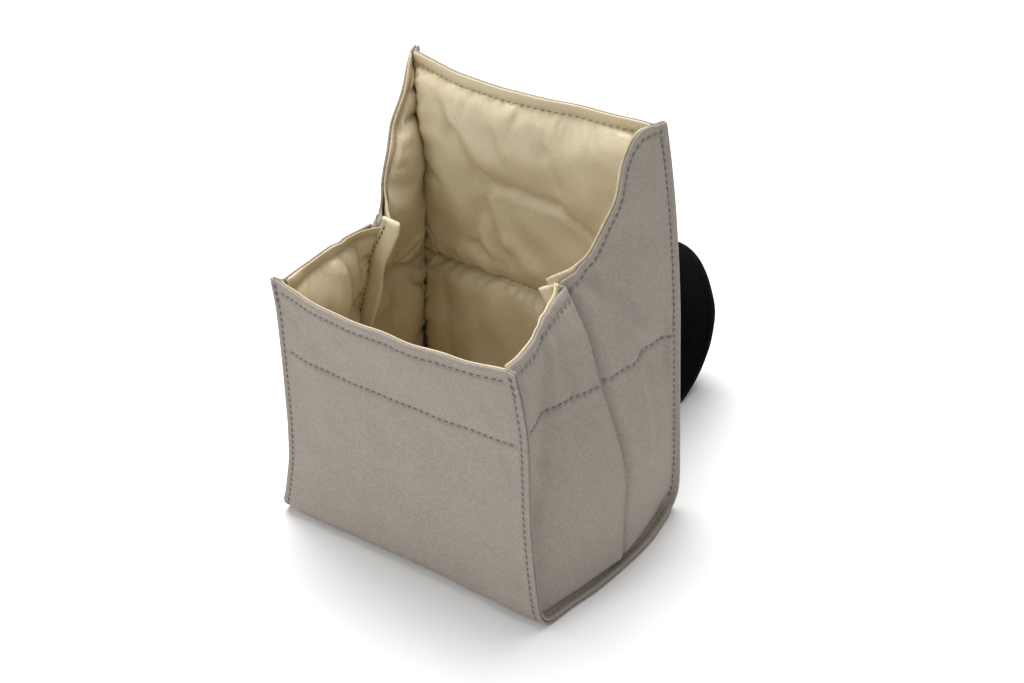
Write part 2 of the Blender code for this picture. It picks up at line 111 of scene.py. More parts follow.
# Outer wrap: one strip of grey cotton twill that makes the front, the base and the back. Its long edges are
# turned out and sewn to the sides as narrow fins, and its two short edges are hemmed at the rims.
DEPTH = 0.093
FRONT_HEIGHT = 0.112
BACK_HEIGHT = 0.169
FRONT_FOLD = 0.008
BACK_FOLD = 0.010
HALF_BASE = 0.0625
FRONT_RIM_HALF = 0.0565
BACK_RIM_HALF = 0.0583
SPREAD = 0.0058
FRONT_BOW = 0.0065
BACK_BOW = 0.006
BACK_BOW_SKEW = 0.25
FRONT_BOW_POWER = 2.4
BACK_BOW_POWER = 1.5
SWAY = 0.0031
FIN = 0.004
FIN_TURN = np.radians(70)
TWILL = 0.001
PLY_GAP = 0.0003
TWO_WALLS = 2 * TWILL + PLY_GAP
BACK_PLANE = DEPTH / 2 - FIN * np.sin(FIN_TURN)

# Lengths along the strip, from the front rim
FRONT_RUN = FRONT_HEIGHT - FRONT_FOLD
FRONT_ARC = FRONT_RUN + FRONT_FOLD * pi / 2
BASE_RUN = FRONT_ARC + BACK_PLANE + DEPTH / 2 - FRONT_FOLD - BACK_FOLD
BACK_ARC = BASE_RUN + BACK_FOLD * pi / 2
STRIP_LENGTH = BACK_ARC + BACK_HEIGHT - BACK_FOLD
FRONT_CORNER = (FRONT_RUN + FRONT_ARC) / 2
BACK_CORNER = (BASE_RUN + BACK_ARC) / 2
QUILT_HEIGHT = 0.082
FRONT_QUILT = FRONT_HEIGHT - QUILT_HEIGHT
BACK_QUILT = BACK_ARC + QUILT_HEIGHT - BACK_FOLD
SPANS = {
    "front": (0.0, FRONT_CORNER),
    "base": (FRONT_CORNER, BACK_CORNER),
    "back": (BACK_CORNER, STRIP_LENGTH),
}

# Shares: of the panel's run from the front rim; of the way from the base's width to the rim's; of the spread;
# of the bow; of the fin's turn; of the sway to the right
STRIP_COLUMNS = ("panel", "run", "to_rim", "spread", "bow", "turn", "sway")
STRIP_SECTIONS = (
    ("front", 0.00, 1.00, 0.0, 1.00, 0.0, 0.10),
    ("front", 0.12, 0.87, 0.0, 0.78, 0.0, 0.74),
    ("front", 0.26, 0.74, 0.0, 0.48, 0.0, 1.00),
    ("front", 0.54, 0.72, 0.0, 0.22, 0.0, 0.81),
    ("front", 0.72, 0.56, 0.0, 0.10, 0.0, 0.66),
    ("front", 0.90, 0.20, 0.1, 0.04, 0.0, 0.25),
    ("front", 1.00, 0.00, 0.3, 0.00, 0.0, 0.00),
    ("base", 0.16, 0.00, 0.5, 0.00, 0.0, 0.00),
    ("base", 0.36, 0.00, 0.9, 0.00, 0.0, 0.00),
    ("base", 0.55, 0.00, 1.0, 0.00, 0.0, 0.00),
    ("base", 0.64, 0.00, 1.0, 0.00, 0.0, 0.00),
    ("base", 0.76, 0.00, 0.9, 0.00, 0.0, 0.00),
    ("base", 0.94, 0.00, 0.4, 0.00, 0.0, 0.00),
    ("back", 0.00, 0.00, 0.3, 0.00, 0.3, 0.00),
    ("back", 0.06, 0.00, 0.3, 0.00, 0.8, 0.05),
    ("back", 0.15, 0.00, 0.2, 0.00, 1.0, 0.20),
    ("back", 0.50, 0.06, 0.0, 0.00, 1.0, 0.65),
    ("back", 0.64, 0.24, 0.0, 0.12, 1.0, 0.71),
    ("back", 0.77, 0.48, 0.0, 0.45, 1.0, 0.65),
    ("back", 0.91, 0.76, 0.0, 0.82, 1.0, 0.32),
    ("back", 1.00, 1.00, 0.0, 1.00, 1.0, 0.00),
)


def curve(table, at):
    """A smooth curve through a table's (place, value) rows that never overshoots them: on each span a cubic,
    with the harmonic mean of the two spans' slopes at the row between them."""
    place, value = np.array(table, float).T
    rise = np.diff(value) / np.diff(place)
    product, total = rise[:-1] * rise[1:], rise[:-1] + rise[1:]
    slope = np.concatenate(([rise[0]], np.zeros(len(rise) - 1), [rise[-1]]))
    bends = product > 0
    slope[1:-1][bends] = 2 * product[bends] / total[bends]
    first = np.clip(np.searchsorted(place, at, side="right") - 1, 0, len(place) - 2)
    step = place[first + 1] - place[first]
    t = np.clip((at - place[first]) / step, 0, 1)
    start = value[first] * (1 - t) ** 2 * (1 + 2 * t) + slope[first] * step * t * (1 - t) ** 2
    return start + value[first + 1] * t**2 * (3 - 2 * t) - slope[first + 1] * step * t**2 * (1 - t)


def section(column, along):
    """One column of the strip's sections as a smooth curve along it."""
    index = STRIP_COLUMNS.index(column)
    rows = []
    for row in STRIP_SECTIONS:
        start, end = SPANS[row[0]]
        rows.append((start + (end - start) * row[1], row[index]))
    return curve(rows, along)


def path(along):
    """(y, z, angle) of the strip's outer face: down the front, round a quarter circle, along the base, round
    another and up the back. The outward normal is (-cos, -sin) of the angle in Y and Z."""
    first = np.clip((along - FRONT_RUN) / FRONT_FOLD, 0, pi / 2)
    second = np.clip((along - BASE_RUN) / BACK_FOLD, 0, pi / 2)
    y = -DEPTH / 2 + FRONT_FOLD * (1 - np.cos(first)) + np.clip(along - FRONT_ARC, 0, BASE_RUN - FRONT_ARC)
    z = FRONT_HEIGHT - np.clip(along, 0, FRONT_RUN) - FRONT_FOLD * np.sin(first)
    y = y + BACK_FOLD * np.sin(second)
    z = z + BACK_FOLD * (1 - np.cos(second)) + np.clip(along - BACK_ARC, 0, None)
    return y, z, first + second


def half_width(along, side):
    """Distance from the middle plane to the fin's root on one side (1 is right, -1 is left)."""
    turn = FIN_TURN * section("turn", along)
    rim = np.where(along < FRONT_CORNER, FRONT_RIM_HALF, BACK_RIM_HALF)
    edge = HALF_BASE + (rim - HALF_BASE) * section("to_rim", along) + SPREAD * section("spread", along)
    return edge - FIN * np.cos(turn) - TWO_WALLS * np.sin(turn) + side * SWAY * section("sway", along)


def folds(rows, first, second):
    """Soft ridges. Each row is a line's two ends, its half width, its height and its lean; the height is
    a bell over the distance from the line, wider by the lean on the line's left than on its right."""
    total = np.zeros(np.broadcast(first, second).shape)
    for start_a, start_b, end_a, end_b, half, height, lean in rows:
        run_a, run_b = end_a - start_a, end_b - start_b
        length = np.hypot(run_a, run_b)
        off_a, off_b = first - start_a, second - start_b
        share = np.clip((off_a * run_a + off_b * run_b) / length**2, 0, 1)
        away = np.hypot(off_a - share * run_a, off_b - share * run_b)
        signed = (run_a * off_b - run_b * off_a) / length
        total = total + height * np.exp(-((away / (half * (1 + lean * np.tanh(signed / half)))) ** 2))
    return total


def unevenness(first, second, size, seed):
    """A sum of sine waves in random directions, with lengths round the given size, that stays near one."""
    random = np.random.default_rng(seed)
    total = 0
    for wave in range(12):
        angle = random.uniform(0, pi)
        length = size * random.uniform(0.6, 1.8)
        phase = random.uniform(0, 2 * pi)
        total = total + np.sin(2 * pi * (first * np.cos(angle) + second * np.sin(angle)) / length + phase)
    return total / np.sqrt(6)


MM = 0.001
TWILL_WAVER = 0.0003
EDGE_FADE = 14

# Soft folds of the front and the back, in millimetres: line from (along, across) to (along, across), half
# width, height, lean
STRIP_FOLDS = (
    (30, -50, 30, 52, 1.8, -0.35, 0.0),
    (4, -50, 4, 52, 1.4, -0.30, 0.0),
    (36, 52, 46, 55, 2.6, -0.9, 0.0),
    (46, 55, 66, 56, 3.0, -0.6, 0.0),
    (66, 55, 96, 55, 3.5, -0.7, 0.0),
    (10, -48, 14, -44, 3.0, -0.7, 0.0),
    (6, -50, 13, -39, 2.2, 0.9, 0.0),
    (13, -39, 16, -14, 3.6, 0.5, 0.0),
    (21, 10, 25, 38, 3.2, 0.35, 0.0),
    (14, 44, 24, 51, 2.6, -0.5, 0.0),
    (40, -30, 70, 20, 12.0, 0.5, 0.0),
)


def strip(along, across, inset=0.0):
    """Place of the strip at a length along it and a distance from its middle: on the body the section's
    bow and the soft folds lift it along its normal, past the seam it runs on in the fin's own
    direction."""
    y, z, angle = path(along)
    side = np.where(across < 0, -1.0, 1.0)
    root = np.where(across < 0, half_width(along, -1), half_width(along, 1))
    turn = FIN_TURN * section("turn", along)
    past = np.clip(np.abs(across) - root, 0, None)
    share = np.clip(across / root, -1, 1)
    skewed = share + BACK_BOW_SKEW * (1 - share**2)
    front_bow = FRONT_BOW * (1 - np.abs(share) ** FRONT_BOW_POWER)
    back_bow = -BACK_BOW * (1 - skewed**2) ** BACK_BOW_POWER
    bow = np.where(along < FRONT_CORNER, front_bow, back_bow)
    fade = np.clip((1 - np.abs(share)) * EDGE_FADE, 0, 1)
    fade = fade * (2 - fade)
    rough = TWILL_WAVER * unevenness(along, across, 0.03, 3)
    rough = rough + MM * folds(STRIP_FOLDS, along / MM, across / MM)
    lift = bow * section("bow", along) + rough * fade
    on_fin = past > 0
    lift = lift + past * np.sin(turn) - inset * np.where(on_fin, np.cos(turn), 1)
    out = np.minimum(np.abs(across), root) + past * np.cos(turn)
    x = side * (out + np.where(on_fin, inset * np.sin(turn), 0))
    return np.stack([x, y - np.cos(angle) * lift, np.maximum(z - np.sin(angle) * lift, 0)], axis=-1)


def quads(numbers):
    """Faces of a grid of point numbers, whose normals are its columns' direction crossed with its rows'."""
    cells = [numbers[:-1, :-1], numbers[:-1, 1:], numbers[1:, 1:], numbers[1:, :-1]]
    return np.stack(cells, axis=-1).reshape(-1, 4)


def round_the_edge(numbers):
    """The border of a grid of point numbers, anticlockwise as seen from its face."""
    return np.concatenate([numbers[0, :-1], numbers[:-1, -1], numbers[-1, :0:-1], numbers[:0:-1, 0]])


def vertex_normals(points, faces):
    """The sum of the cross products of the diagonals of the faces round each point, made one long."""
    cross = np.cross(points[faces[:, 2]] - points[faces[:, 0]], points[faces[:, 3]] - points[faces[:, 1]])
    normals = np.zeros_like(points)
    for corner in range(4):
        np.add.at(normals, faces[:, corner], cross)
    return normals / (np.linalg.norm(normals, axis=1, keepdims=True) + 1e-12)


def sheet_of_cloth(name, face, faces, border, wall, flat, marks=None, back=None):
    """A closed sheet from its visible face. The back lies one wall behind it along its normals, unless it
    is given, and a row of points between the two, pushed out by half a wall, rounds the edge. flat gives
    the place on the cut cloth."""
    wall = np.broadcast_to(wall, len(face))[:, None]
    normals = vertex_normals(face, faces)
    back = face - wall * normals if back is None else back
    run = np.roll(face[border], -1, axis=0) - np.roll(face[border], 1, axis=0)
    outwards = np.cross(run, normals[border])
    outwards /= np.linalg.norm(outwards, axis=1, keepdims=True) + 1e-12
    rim = (face[border] + back[border]) / 2 + outwards * wall[border] / 2
    count = len(face)
    following = np.roll(border, -1)
    ring = 2 * count + np.arange(len(border))
    next_ring = np.roll(ring, -1)
    every = np.concatenate([
        faces,
        faces[:, ::-1] + count,
        np.stack([following, border, ring, next_ring], axis=-1),
        np.stack([next_ring, ring, border + count, following + count], axis=-1),
    ])
    mesh = bpy.data.meshes.new(name)
    mesh.from_pydata(np.concatenate([face, back, rim]).tolist(), [], every.tolist())
    corners = every.ravel()
    layer = mesh.uv_layers.new(name="cloth")
    flat = np.concatenate([flat, flat, flat[border]])
    layer.data.foreach_set("uv", flat[corners].ravel())
    for mark, value in (marks or {}).items():
        value = np.concatenate([value, value, value[border]]).astype(np.float32)
        mesh.attributes.new(mark, "FLOAT", "POINT").data.foreach_set("value", value)
    mesh.shade_smooth()
    piece = bpy.data.objects.new(name, mesh)
    scene.collection.objects.link(piece)
    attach(piece, "root")
    return piece


STRIP_ROWS = 270
BODY_COLUMNS = 84
FIN_COLUMNS = 4
stations = np.linspace(0, STRIP_LENGTH, STRIP_ROWS + 1)[:, None]
shares = np.linspace(-1, 1, BODY_COLUMNS + 1)
body_across = np.where(shares < 0, half_width(stations, -1), half_width(stations, 1)) * shares
steps = np.linspace(0, FIN, FIN_COLUMNS + 1)[1:]
left_fin = -half_width(stations, -1) - steps[::-1]
right_fin = half_width(stations, 1) + steps
wrap_across = np.concatenate([left_fin, body_across, right_fin], axis=1)
wrap_along = np.broadcast_to(stations, wrap_across.shape)
wrap_points = strip(wrap_along, wrap_across)
numbers = np.arange(wrap_across.size).reshape(wrap_across.shape)[::-1]
HEM_LINE = 0.004
SEWN_LINES = (HEM_LINE, FRONT_QUILT, BACK_QUILT, STRIP_LENGTH - HEM_LINE)
from_fin_line = np.where(
    wrap_across < 0,
    -half_width(stations, -1) - FIN / 2 - wrap_across,
    wrap_across - half_width(stations, 1) - FIN / 2,
)


def within_lines(along):
    """How far inside the front's or the back's pair of sewn lines a place lies: negative outside both."""
    pairs = [np.minimum(along - SEWN_LINES[low], SEWN_LINES[low + 1] - along) for low in (0, 2)]
    return np.maximum(*pairs)


outer_wrap = sheet_of_cloth(
    "wrap_twill",
    wrap_points.reshape(-1, 3),
    quads(numbers),
    round_the_edge(numbers),
    TWILL,
    np.stack([wrap_across, -wrap_along], axis=-1).reshape(-1, 2),
    marks={"seam": within_lines(wrap_along).ravel(), "fin": from_fin_line.ravel()},
)
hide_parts("outer_wrap")


# Sides: each is two halves of the same twill that meet at the pleat. Their outer edges are sewn into the
# fins, and the front half's pleated edge is turned under and stands a little proud of the rear half.
PLEAT_PLACE = 0.001
PLEAT_ON_STRIP = FRONT_ARC + PLEAT_PLACE + DEPTH / 2 - FRONT_FOLD
PLEAT_RIM_SPREAD = 0.0455
PLEAT_BELLY_SPREAD = 0.0705
PLEAT_HEIGHT = 0.119
PLEAT_LIP = 0.0032
SIDE_FOLD = 0.0065
SIDE_PUFF = 0.0018

# The crease: share of its height, share of the way from its rim spread to its belly spread
CREASE = (
    (0.00, 0.90), (0.13, 0.93), (0.24, 0.96), (0.36, 1.00), (0.42, 0.97), (0.50, 0.88),
    (0.60, 0.73), (0.68, 0.60), (0.85, 0.37), (0.93, 0.18), (1.00, 0.00),
)

# The rims in millimetres: place from the front to the back, height
RIMS = {
    ("front", 1): ((-46.5, 112), (-37, 111.7), (-28, 112.6), (-19, 115.4), (-10, 118.2), (0.85, 119.2)),
    ("front", -1): ((-46.5, 112), (-39, 112.7), (-30, 114), (-19, 115.8), (-10, 116.2), (0.85, 115.6)),
    ("rear", 1): (
        (1.15, 119.2), (8.9, 126.3), (15.8, 134.8), (21.3, 145), (25, 153.8), (28.6, 162.2), (32.2, 168),
        (36.2, 170.4), (40.6, 170.6), (46.5, 169),
    ),
    ("rear", -1): (
        (1.15, 117), (4.2, 119.5), (8.3, 128), (12, 135.3), (16.6, 141.4), (22.3, 149.1), (30.9, 157.5),
        (38, 164), (46.5, 169),
    ),
}

# How far the quilting line pulls the side in, in millimetres: share of the way from the corner to the pleat
PULL = {
    "front": ((0.0, 0.0), (0.13, 1.0), (0.33, 3.7), (0.52, 5.3), (0.66, 4.1), (0.82, 2.0), (1.0, 0.3)),
    "rear": (
        (0.0, 0.0), (0.07, 2.2), (0.25, 2.5), (0.42, 0.7), (0.56, -0.6), (0.7, 0.2), (0.85, -0.2),
        (1.0, 0.0),
    ),
}
PULL_FADE = {"front": 0.26, "rear": 0.3}

# Soft folds of the sides, in millimetres: line from (y, z) to (y, z), half width, height, lean. The main
# valleys are placed after the photograph, and the others are listed.
SIDE_FOLDS = {
    "front": (
        (-21, 112, -25, 86, 2.4, -1.1, 0.0), (-25, 84, -33, 66, 3.4, -1.3, 0.0),
        (-33, 66, -42, 46, 3.6, -1.2, 0.0), (-42, 46, -40, 22, 4.0, -0.8, 0.0),
        (-17, 108, -19, 86, 2.4, 0.9, 0.0), (-19, 78, -24, 54, 4.5, 0.9, 0.0),
        (-17, 116, -11, 84, 2.0, -0.9, 0.0), (-5, 112, -3, 86, 2.2, 0.5, 0.0),
        (-10, 72, -3, 61, 1.8, -0.5, 0.0), (-36, 100, -40, 86, 3.0, 0.6, 0.0),
    ),
    "rear": (
        (8, 124, 28, 97, 3.0, -1.0, 0.0), (3, 116, 16, 100, 3.0, 0.7, 0.0), (25, 97, 35, 79, 3.2, 0.9, 0.0),
        (16, 98, 27, 84, 2.6, -0.8, 0.0), (22, 78, 20, 44, 3.0, 0.9, 0.0), (29, 74, 27, 46, 3.6, -0.9, 0.0),
        (39, 74, 42, 36, 3.0, -0.6, 0.0), (30, 130, 42, 100, 5.0, 0.4, 0.0),
    ),
}

# The fold over the base fins: share of its height, share of the way from the fin's root to the panel
BASE_FOLD = ((0.00, 0.00), (0.20, 0.55), (0.45, 0.90), (0.75, 1.00), (1.00, 1.00))


def crease(z):
    """Distance of the pleat's crease from the middle plane at a height."""
    return PLEAT_RIM_SPREAD + (PLEAT_BELLY_SPREAD - PLEAT_RIM_SPREAD) * curve(CREASE, z / PLEAT_HEIGHT)


def seam(along, side):
    """The side sheet's seam line at a length along the strip: (distance from the middle plane, y, z)."""
    y, z, angle = path(along)
    turn = FIN_TURN * section("turn", along)
    inwards = TWO_WALLS * np.cos(turn)
    out = half_width(along, side) + TWO_WALLS * np.sin(turn)
    return out, y + np.cos(angle) * inwards, z + np.sin(angle) * inwards


def side_out(end, side, y, z):
    """Distance of a half side from the middle plane over (y, z): straight from the corner's seam to the
    crease, pulled in along the quilting line, puffed out below it, folded in at the base, and softly
    folded."""
    corner, rim, count = (FRONT_CORNER, 0, 60) if end == "front" else (BACK_CORNER, STRIP_LENGTH, 80)
    upright, base = np.linspace(corner, rim, count), np.linspace(corner, PLEAT_ON_STRIP, 30)
    out, corner_y, corner_z = seam(upright, side)
    share = np.clip((y - corner_y[-1]) / (PLEAT_PLACE - corner_y[-1]), 0, 1)
    corner_out = np.interp(z, corner_z, out)
    wall = corner_out + (crease(z) - corner_out) * share
    level = z / QUILT_HEIGHT
    wall = wall - 0.001 * curve(PULL[end], share) * np.exp(-(((level - 1) / PULL_FADE[end]) ** 2))
    wall = wall + SIDE_PUFF * np.sin(pi * share) * np.exp(-(((level - 0.5) / 0.3) ** 2))
    edge = np.clip(np.minimum(share, 1 - share) * 8, 0, 1)
    wall = wall + 0.001 * folds(SIDE_FOLDS[end], y * 1000, z * 1000) * edge
    wall = wall + 0.0003 * unevenness(y, z, 0.028, 7 if end == "front" else 8) * edge
    wall = wall - 0.0005 * np.exp(-(((z - QUILT_HEIGHT) / 0.0016) ** 2)) * edge
    if end == "rear":
        past = np.clip((y - PLEAT_PLACE) / (1.8 * PLEAT_LIP), 0, 1)
        wall = wall - PLEAT_LIP * (1 - past**2 * (3 - 2 * past))
    out, base_y, base_z = seam(base, side)
    order = np.argsort(base_y)
    base_out = np.interp(y, base_y[order], out[order])
    up = np.clip((z - np.interp(y, base_y[order], base_z[order])) / SIDE_FOLD, 0, 1)
    return base_out + (wall - base_out) * curve(BASE_FOLD, up)


# Share of a half side's rows, share of its height: the rows lie closer over the fold at the base
ROWS_RISE = ((0.00, 0.00), (0.13, 0.045), (0.20, 0.10), (1.00, 1.00))


def half_side_plan(end, side, inset, rows, columns):
    """(y, z) grid of a half side, rows up and columns from its corner to the pleat: a patch blended
    between its four edges, which are the two seams, the crease and the rim. inset is how far it stays
    inside the strip."""
    corner, rim = (FRONT_CORNER, 0) if end == "front" else (BACK_CORNER, STRIP_LENGTH)
    upright = corner + (rim - corner) * curve(ROWS_RISE, np.linspace(0, 1, rows + 1))
    base = np.linspace(corner, PLEAT_ON_STRIP, columns + 1)

    def inside(along):
        y, z, angle = path(along)
        return np.stack([y + np.cos(angle) * inset(along), z + np.sin(angle) * inset(along)], axis=-1)

    left, bottom = inside(upright), inside(base)
    pleat_y = PLEAT_PLACE + (-PLY_GAP / 2 if end == "front" else PLY_GAP / 2)
    bottom[-1, 0] = pleat_y
    u = ((bottom[:, 0] - bottom[0, 0]) / (bottom[-1, 0] - bottom[0, 0]))[None, :, None]
    rim_y = left[-1, 0] + (pleat_y - left[-1, 0]) * u.ravel()
    rim_z = curve(RIMS[end, side], rim_y * 1000) / 1000
    rim_z = rim_z + (left[-1, 1] - rim_z[0]) * (1 - u.ravel()) ** 6
    top = np.stack([rim_y, rim_z], axis=-1)
    v = ((left[:, 1] - left[0, 1]) / (left[-1, 1] - left[0, 1]))[:, None, None]
    right = bottom[-1] + (top[-1] - bottom[-1]) * v[:, 0]
    sides = left[:, None] * (1 - u) + right[:, None] * u
    ends = bottom[None] * (1 - v) + top[None] * v
    corners = (left[0] * (1 - u) + right[0] * u) * (1 - v) + (left[-1] * (1 - u) + right[-1] * u) * v
    return sides + ends - corners, upright, base


def rim_height(end, side, y):
    """Height of a half side's rim over its place from the front to the back."""
    return curve(RIMS[end, side], y * 1000) / 1000


SIDE_ROWS = {"front": 100, "rear": 136}
SIDE_COLUMNS = 40
LIP_STEPS = 4
LIP_BEND = 0.0007
LIP_CELL = 0.0005


def half_side(end, side):
    """Half of a side: its field, the fin along its two seams, and on the front half the turned lip, which
    is a quarter circle and a short flat behind the crease."""
    plan, upright, base = half_side_plan(
        end,
        side,
        lambda along: TWO_WALLS * np.cos(FIN_TURN * section("turn", along)),
        SIDE_ROWS[end],
        SIDE_COLUMNS,
    )
    y, z = plan[..., 0], plan[..., 1]
    field = np.stack([side_out(end, side, y, z), y, z], axis=-1)
    along = np.concatenate([upright[::-1], base[1:]])
    edge = np.stack(seam(along, side), axis=-1)
    edge[-1, 1] = y[0, -1]
    rows = len(upright)
    field[::-1, 0] = edge[:rows]
    field[0] = edge[rows - 1 :]
    flat = plan.copy()
    if end == "front":
        turn = np.linspace(0, pi / 2, LIP_STEPS + 1)[1:]
        bend = LIP_BEND * np.stack([np.cos(turn) - 1, np.sin(turn) - 1], axis=-1)
        bend = np.concatenate([bend, [(-PLEAT_LIP, 0)]])
        lip = field[:, -1:] + np.concatenate([bend, np.zeros((len(bend), 1))], axis=1)[None]
        field[:, -1, 1] -= LIP_BEND
        field = np.concatenate([field, lip], axis=1)
        onwards = LIP_CELL * np.arange(1, len(bend) + 1)
        flat = np.concatenate([flat, flat[:, -1:] + np.stack([onwards, 0 * onwards], axis=-1)], axis=1)
    _, _, angle = path(along)
    turn = FIN_TURN * section("turn", along)
    way = np.stack([np.cos(turn), -np.cos(angle) * np.sin(turn), -np.sin(angle) * np.sin(turn)], axis=-1)
    step = np.linspace(0, FIN, FIN_COLUMNS + 1)[1:]
    fin = edge[:, None] + way[:, None] * step[None, :, None]
    flat_edge = np.concatenate([plan[::-1, 0], plan[0, 1:]])
    away = -np.stack([np.cos(angle), np.sin(angle)], axis=-1)
    fin_flat = flat_edge[:, None] + away[:, None] * step[None, :, None]
    field_numbers = np.arange(field.shape[0] * field.shape[1]).reshape(field.shape[:2])
    edge_numbers = np.concatenate([field_numbers[::-1, 0], field_numbers[0, 1 : len(base)]])
    fin_numbers = field_numbers.size + np.arange(fin.shape[0] * fin.shape[1]).reshape(fin.shape[:2])
    fin_numbers = np.concatenate([edge_numbers[:, None], fin_numbers], axis=1)
    faces = np.concatenate([quads(field_numbers), quads(fin_numbers[::-1, ::-1])])
    border = np.concatenate([
        fin_numbers[:, -1],
        fin_numbers[-1, -2:0:-1],
        field_numbers[0, len(base) - 1 :],
        field_numbers[1:, -1],
        field_numbers[-1, -2::-1],
        fin_numbers[0, 1:-1],
    ])
    points = np.concatenate([field.reshape(-1, 3), fin.reshape(-1, 3)]) * (side, 1, 1)
    flat = np.concatenate([flat.reshape(-1, 2), fin_flat.reshape(-1, 2)]) * (-side, 1)
    rim_gap = rim_height(end, side, y) - HEM_LINE - z
    added = field.shape[1] - y.shape[1]
    rim_gap = np.concatenate([rim_gap, np.repeat(rim_gap[:, -1:], added, axis=1)], axis=1)
    quilt_gap = field[..., 2] - QUILT_HEIGHT
    near = np.minimum(rim_gap, quilt_gap).ravel()
    on_fins = np.broadcast_to(step - FIN / 2, fin.shape[:2]).ravel()
    fin_near = np.concatenate([np.full(near.size, -FIN), on_fins])
    near = np.concatenate([near, np.full(fin_near.size - near.size, -FIN)])
    if (end == "rear") != (side < 0):
        faces, border = faces[:, ::-1], border[::-1]
    name = f"side_twill_{end}_{'right' if side > 0 else 'left'}"
    return sheet_of_cloth(name, points, faces, border, TWILL, flat, marks={"seam": near, "fin": fin_near})


twill_sides = []
for side, hand in ((1, "right"), (-1, "left")):
    for end, height in (("front", FRONT_HEIGHT), ("rear", BACK_HEIGHT)):
        piece = half_side(end, side)
        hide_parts(f"side_{end}_{hand}")
        twill_sides.append(piece)


# Lining: thin padding faced with khaki satin. One strip of it lies inside the wrap and one piece inside
# each half side. It is caught in the rims and seams and quilted down along one level line, and it puffs out
# between.
LINING_INSET = TWILL + PLY_GAP
SEAM_LOFT = 0.0008
FULL_LOFT = 0.0042
HEM = 0.0028
SATIN_WAVER = 0.0005
GATHER_HEIGHT = 0.00016
THINNEST = 0.0008
SIDE_LINING_INSET = LINING_INSET + 0.002


def pillow(gap, other_gap):
    """Loft between two stitched lines that lie gap and other_gap away: none within a hem's half width, then a
    quarter ellipse's rise over the first centimetre from each."""
    reach = 0.011
    near = np.clip(np.minimum(gap, other_gap) - HEM / 3, 0, reach) / reach
    return np.sqrt(1 - (1 - near) ** 2)


def puckers(run, gap, seed):
    """Small gathers along a stitched line: waves along its run that fade with the distance from it, the short
    ones sooner than the long ones."""
    random = np.random.default_rng(seed)
    total = 0
    for length in (0.0042, 0.0055, 0.0068, 0.0085, 0.011, 0.015):
        phase, drift = random.uniform(0, 2 * pi), random.uniform(-0.35, 0.35)
        snaking = run + drift * gap + 0.002 * np.sin(run / 0.013 + phase)
        wave = np.sin(2 * pi * snaking / length + phase) * np.exp(-gap / (1.3 * length))
        total = total + wave * (length / 0.008) * np.clip(gap / 0.0025, 0.25, 1)
    return total


# Folds of the back's lining in millimetres: line from (across, height) to (across, height), half width,
# height, lean. The first nine are valleys placed after the photograph, and the others are listed.
BACK_FOLDS = (
    (-38, 158, -30, 145, 3.2, -1.3, 0.0), (-30, 145, -18, 128, 4.0, -1.7, 0.0),
    (-18, 128, -18, 115, 4.2, -1.7, 0.0), (-18, 115, -25, 98, 3.6, -1.5, 0.0),
    (-18, 128, -2, 128, 3.2, -1.5, 0.3), (-2, 128, 17, 127, 2.6, -1.5, 0.3),
    (17, 127, 32, 119, 2.0, -1.1, 0.3), (5, 162, 13, 149, 3.0, -0.9, 0.0),
    (13, 149, 19, 136, 3.2, -0.9, 0.0), (-14, 122, -6, 105, 3.6, 1.5, 0.0),
    (-6, 105, 6, 96, 4.2, 1.2, 0.0), (-26, 150, -12, 138, 5.0, 1.1, 0.0),
    (-38, 140, -30, 118, 6.0, 1.2, 0.0), (-25, 97, -10, 92.5, 2.2, -0.9, 0.0),
    (-20, 104, -14, 94, 2.0, 0.8, 0.0), (-32, 92, -24, 101, 2.4, 0.8, 0.0),
    (0, 116, 14, 110, 6.0, 0.7, 0.0), (24, 108, 34, 96, 5.0, 0.7, 0.0), (26, 152, 32, 132, 4.0, 0.7, 0.0),
    (-48, 126, -38, 122, 3.0, -0.8, 0.0), (-8, 158, -2, 146, 4.0, 0.7, 0.0),
    (-44, 150, -46, 132, 3.0, 0.7, 0.0), (-30, 70, -26, 30, 6.0, 0.9, 0.0),
    (-8, 74, -6, 44, 4.0, -0.9, 0.0), (6, 74, 12, 36, 6.0, 0.9, 0.0), (26, 74, 24, 36, 5.0, -0.8, 0.0),
    (-42, 74, -40, 40, 3.0, -0.8, 0.0),
)


def strip_loft(along, across):
    """Thickness of the strip's lining: a pillow between the rims, quilting lines and seams, with puckers
    along them and broad soft folds."""
    half = np.where(across < 0, half_width(along, -1), half_width(along, 1))
    to_side = half - np.abs(across)
    gaps = [np.abs(along - line) for line in SEWN_LINES]
    nearest = np.minimum.reduce(gaps)
    loft = pillow(nearest, 1.0) * pillow(to_side, 1.0)
    within = np.where((along < SEWN_LINES[0]) | (along > SEWN_LINES[3]), 0.0, 1.0)
    gathers = sum(puckers(across, gap, 20 + index) for index, gap in enumerate(gaps))
    gathers = gathers * np.clip(to_side / 0.006, 0, 1)
    gathers = gathers + puckers(along, to_side, 31) * np.clip(nearest / 0.004, 0, 1)
    room = np.clip(nearest / 0.009, 0, 1) * np.clip(to_side / 0.009, 0, 1)
    broad = SATIN_WAVER * unevenness(along, across, 0.035, 12)
    height = along - BACK_ARC + BACK_FOLD
    broad = broad + 1.4 * MM * folds(BACK_FOLDS, across / MM, height / MM)
    loft = SEAM_LOFT + (FULL_LOFT - SEAM_LOFT) * loft * within
    return np.clip(loft + (GATHER_HEIGHT * gathers + broad * room) * within, THINNEST, 0.0085)


# Satin cut this share larger than the padding under it, so that it gathers between its seams
GATHER = 0.06
SIMULATED_SCALE = 20
LAST_FRAME = 18
MOST_MOVE = 0.0035
TOUCHING = 1e-5
HALF_CELL = 0.0007


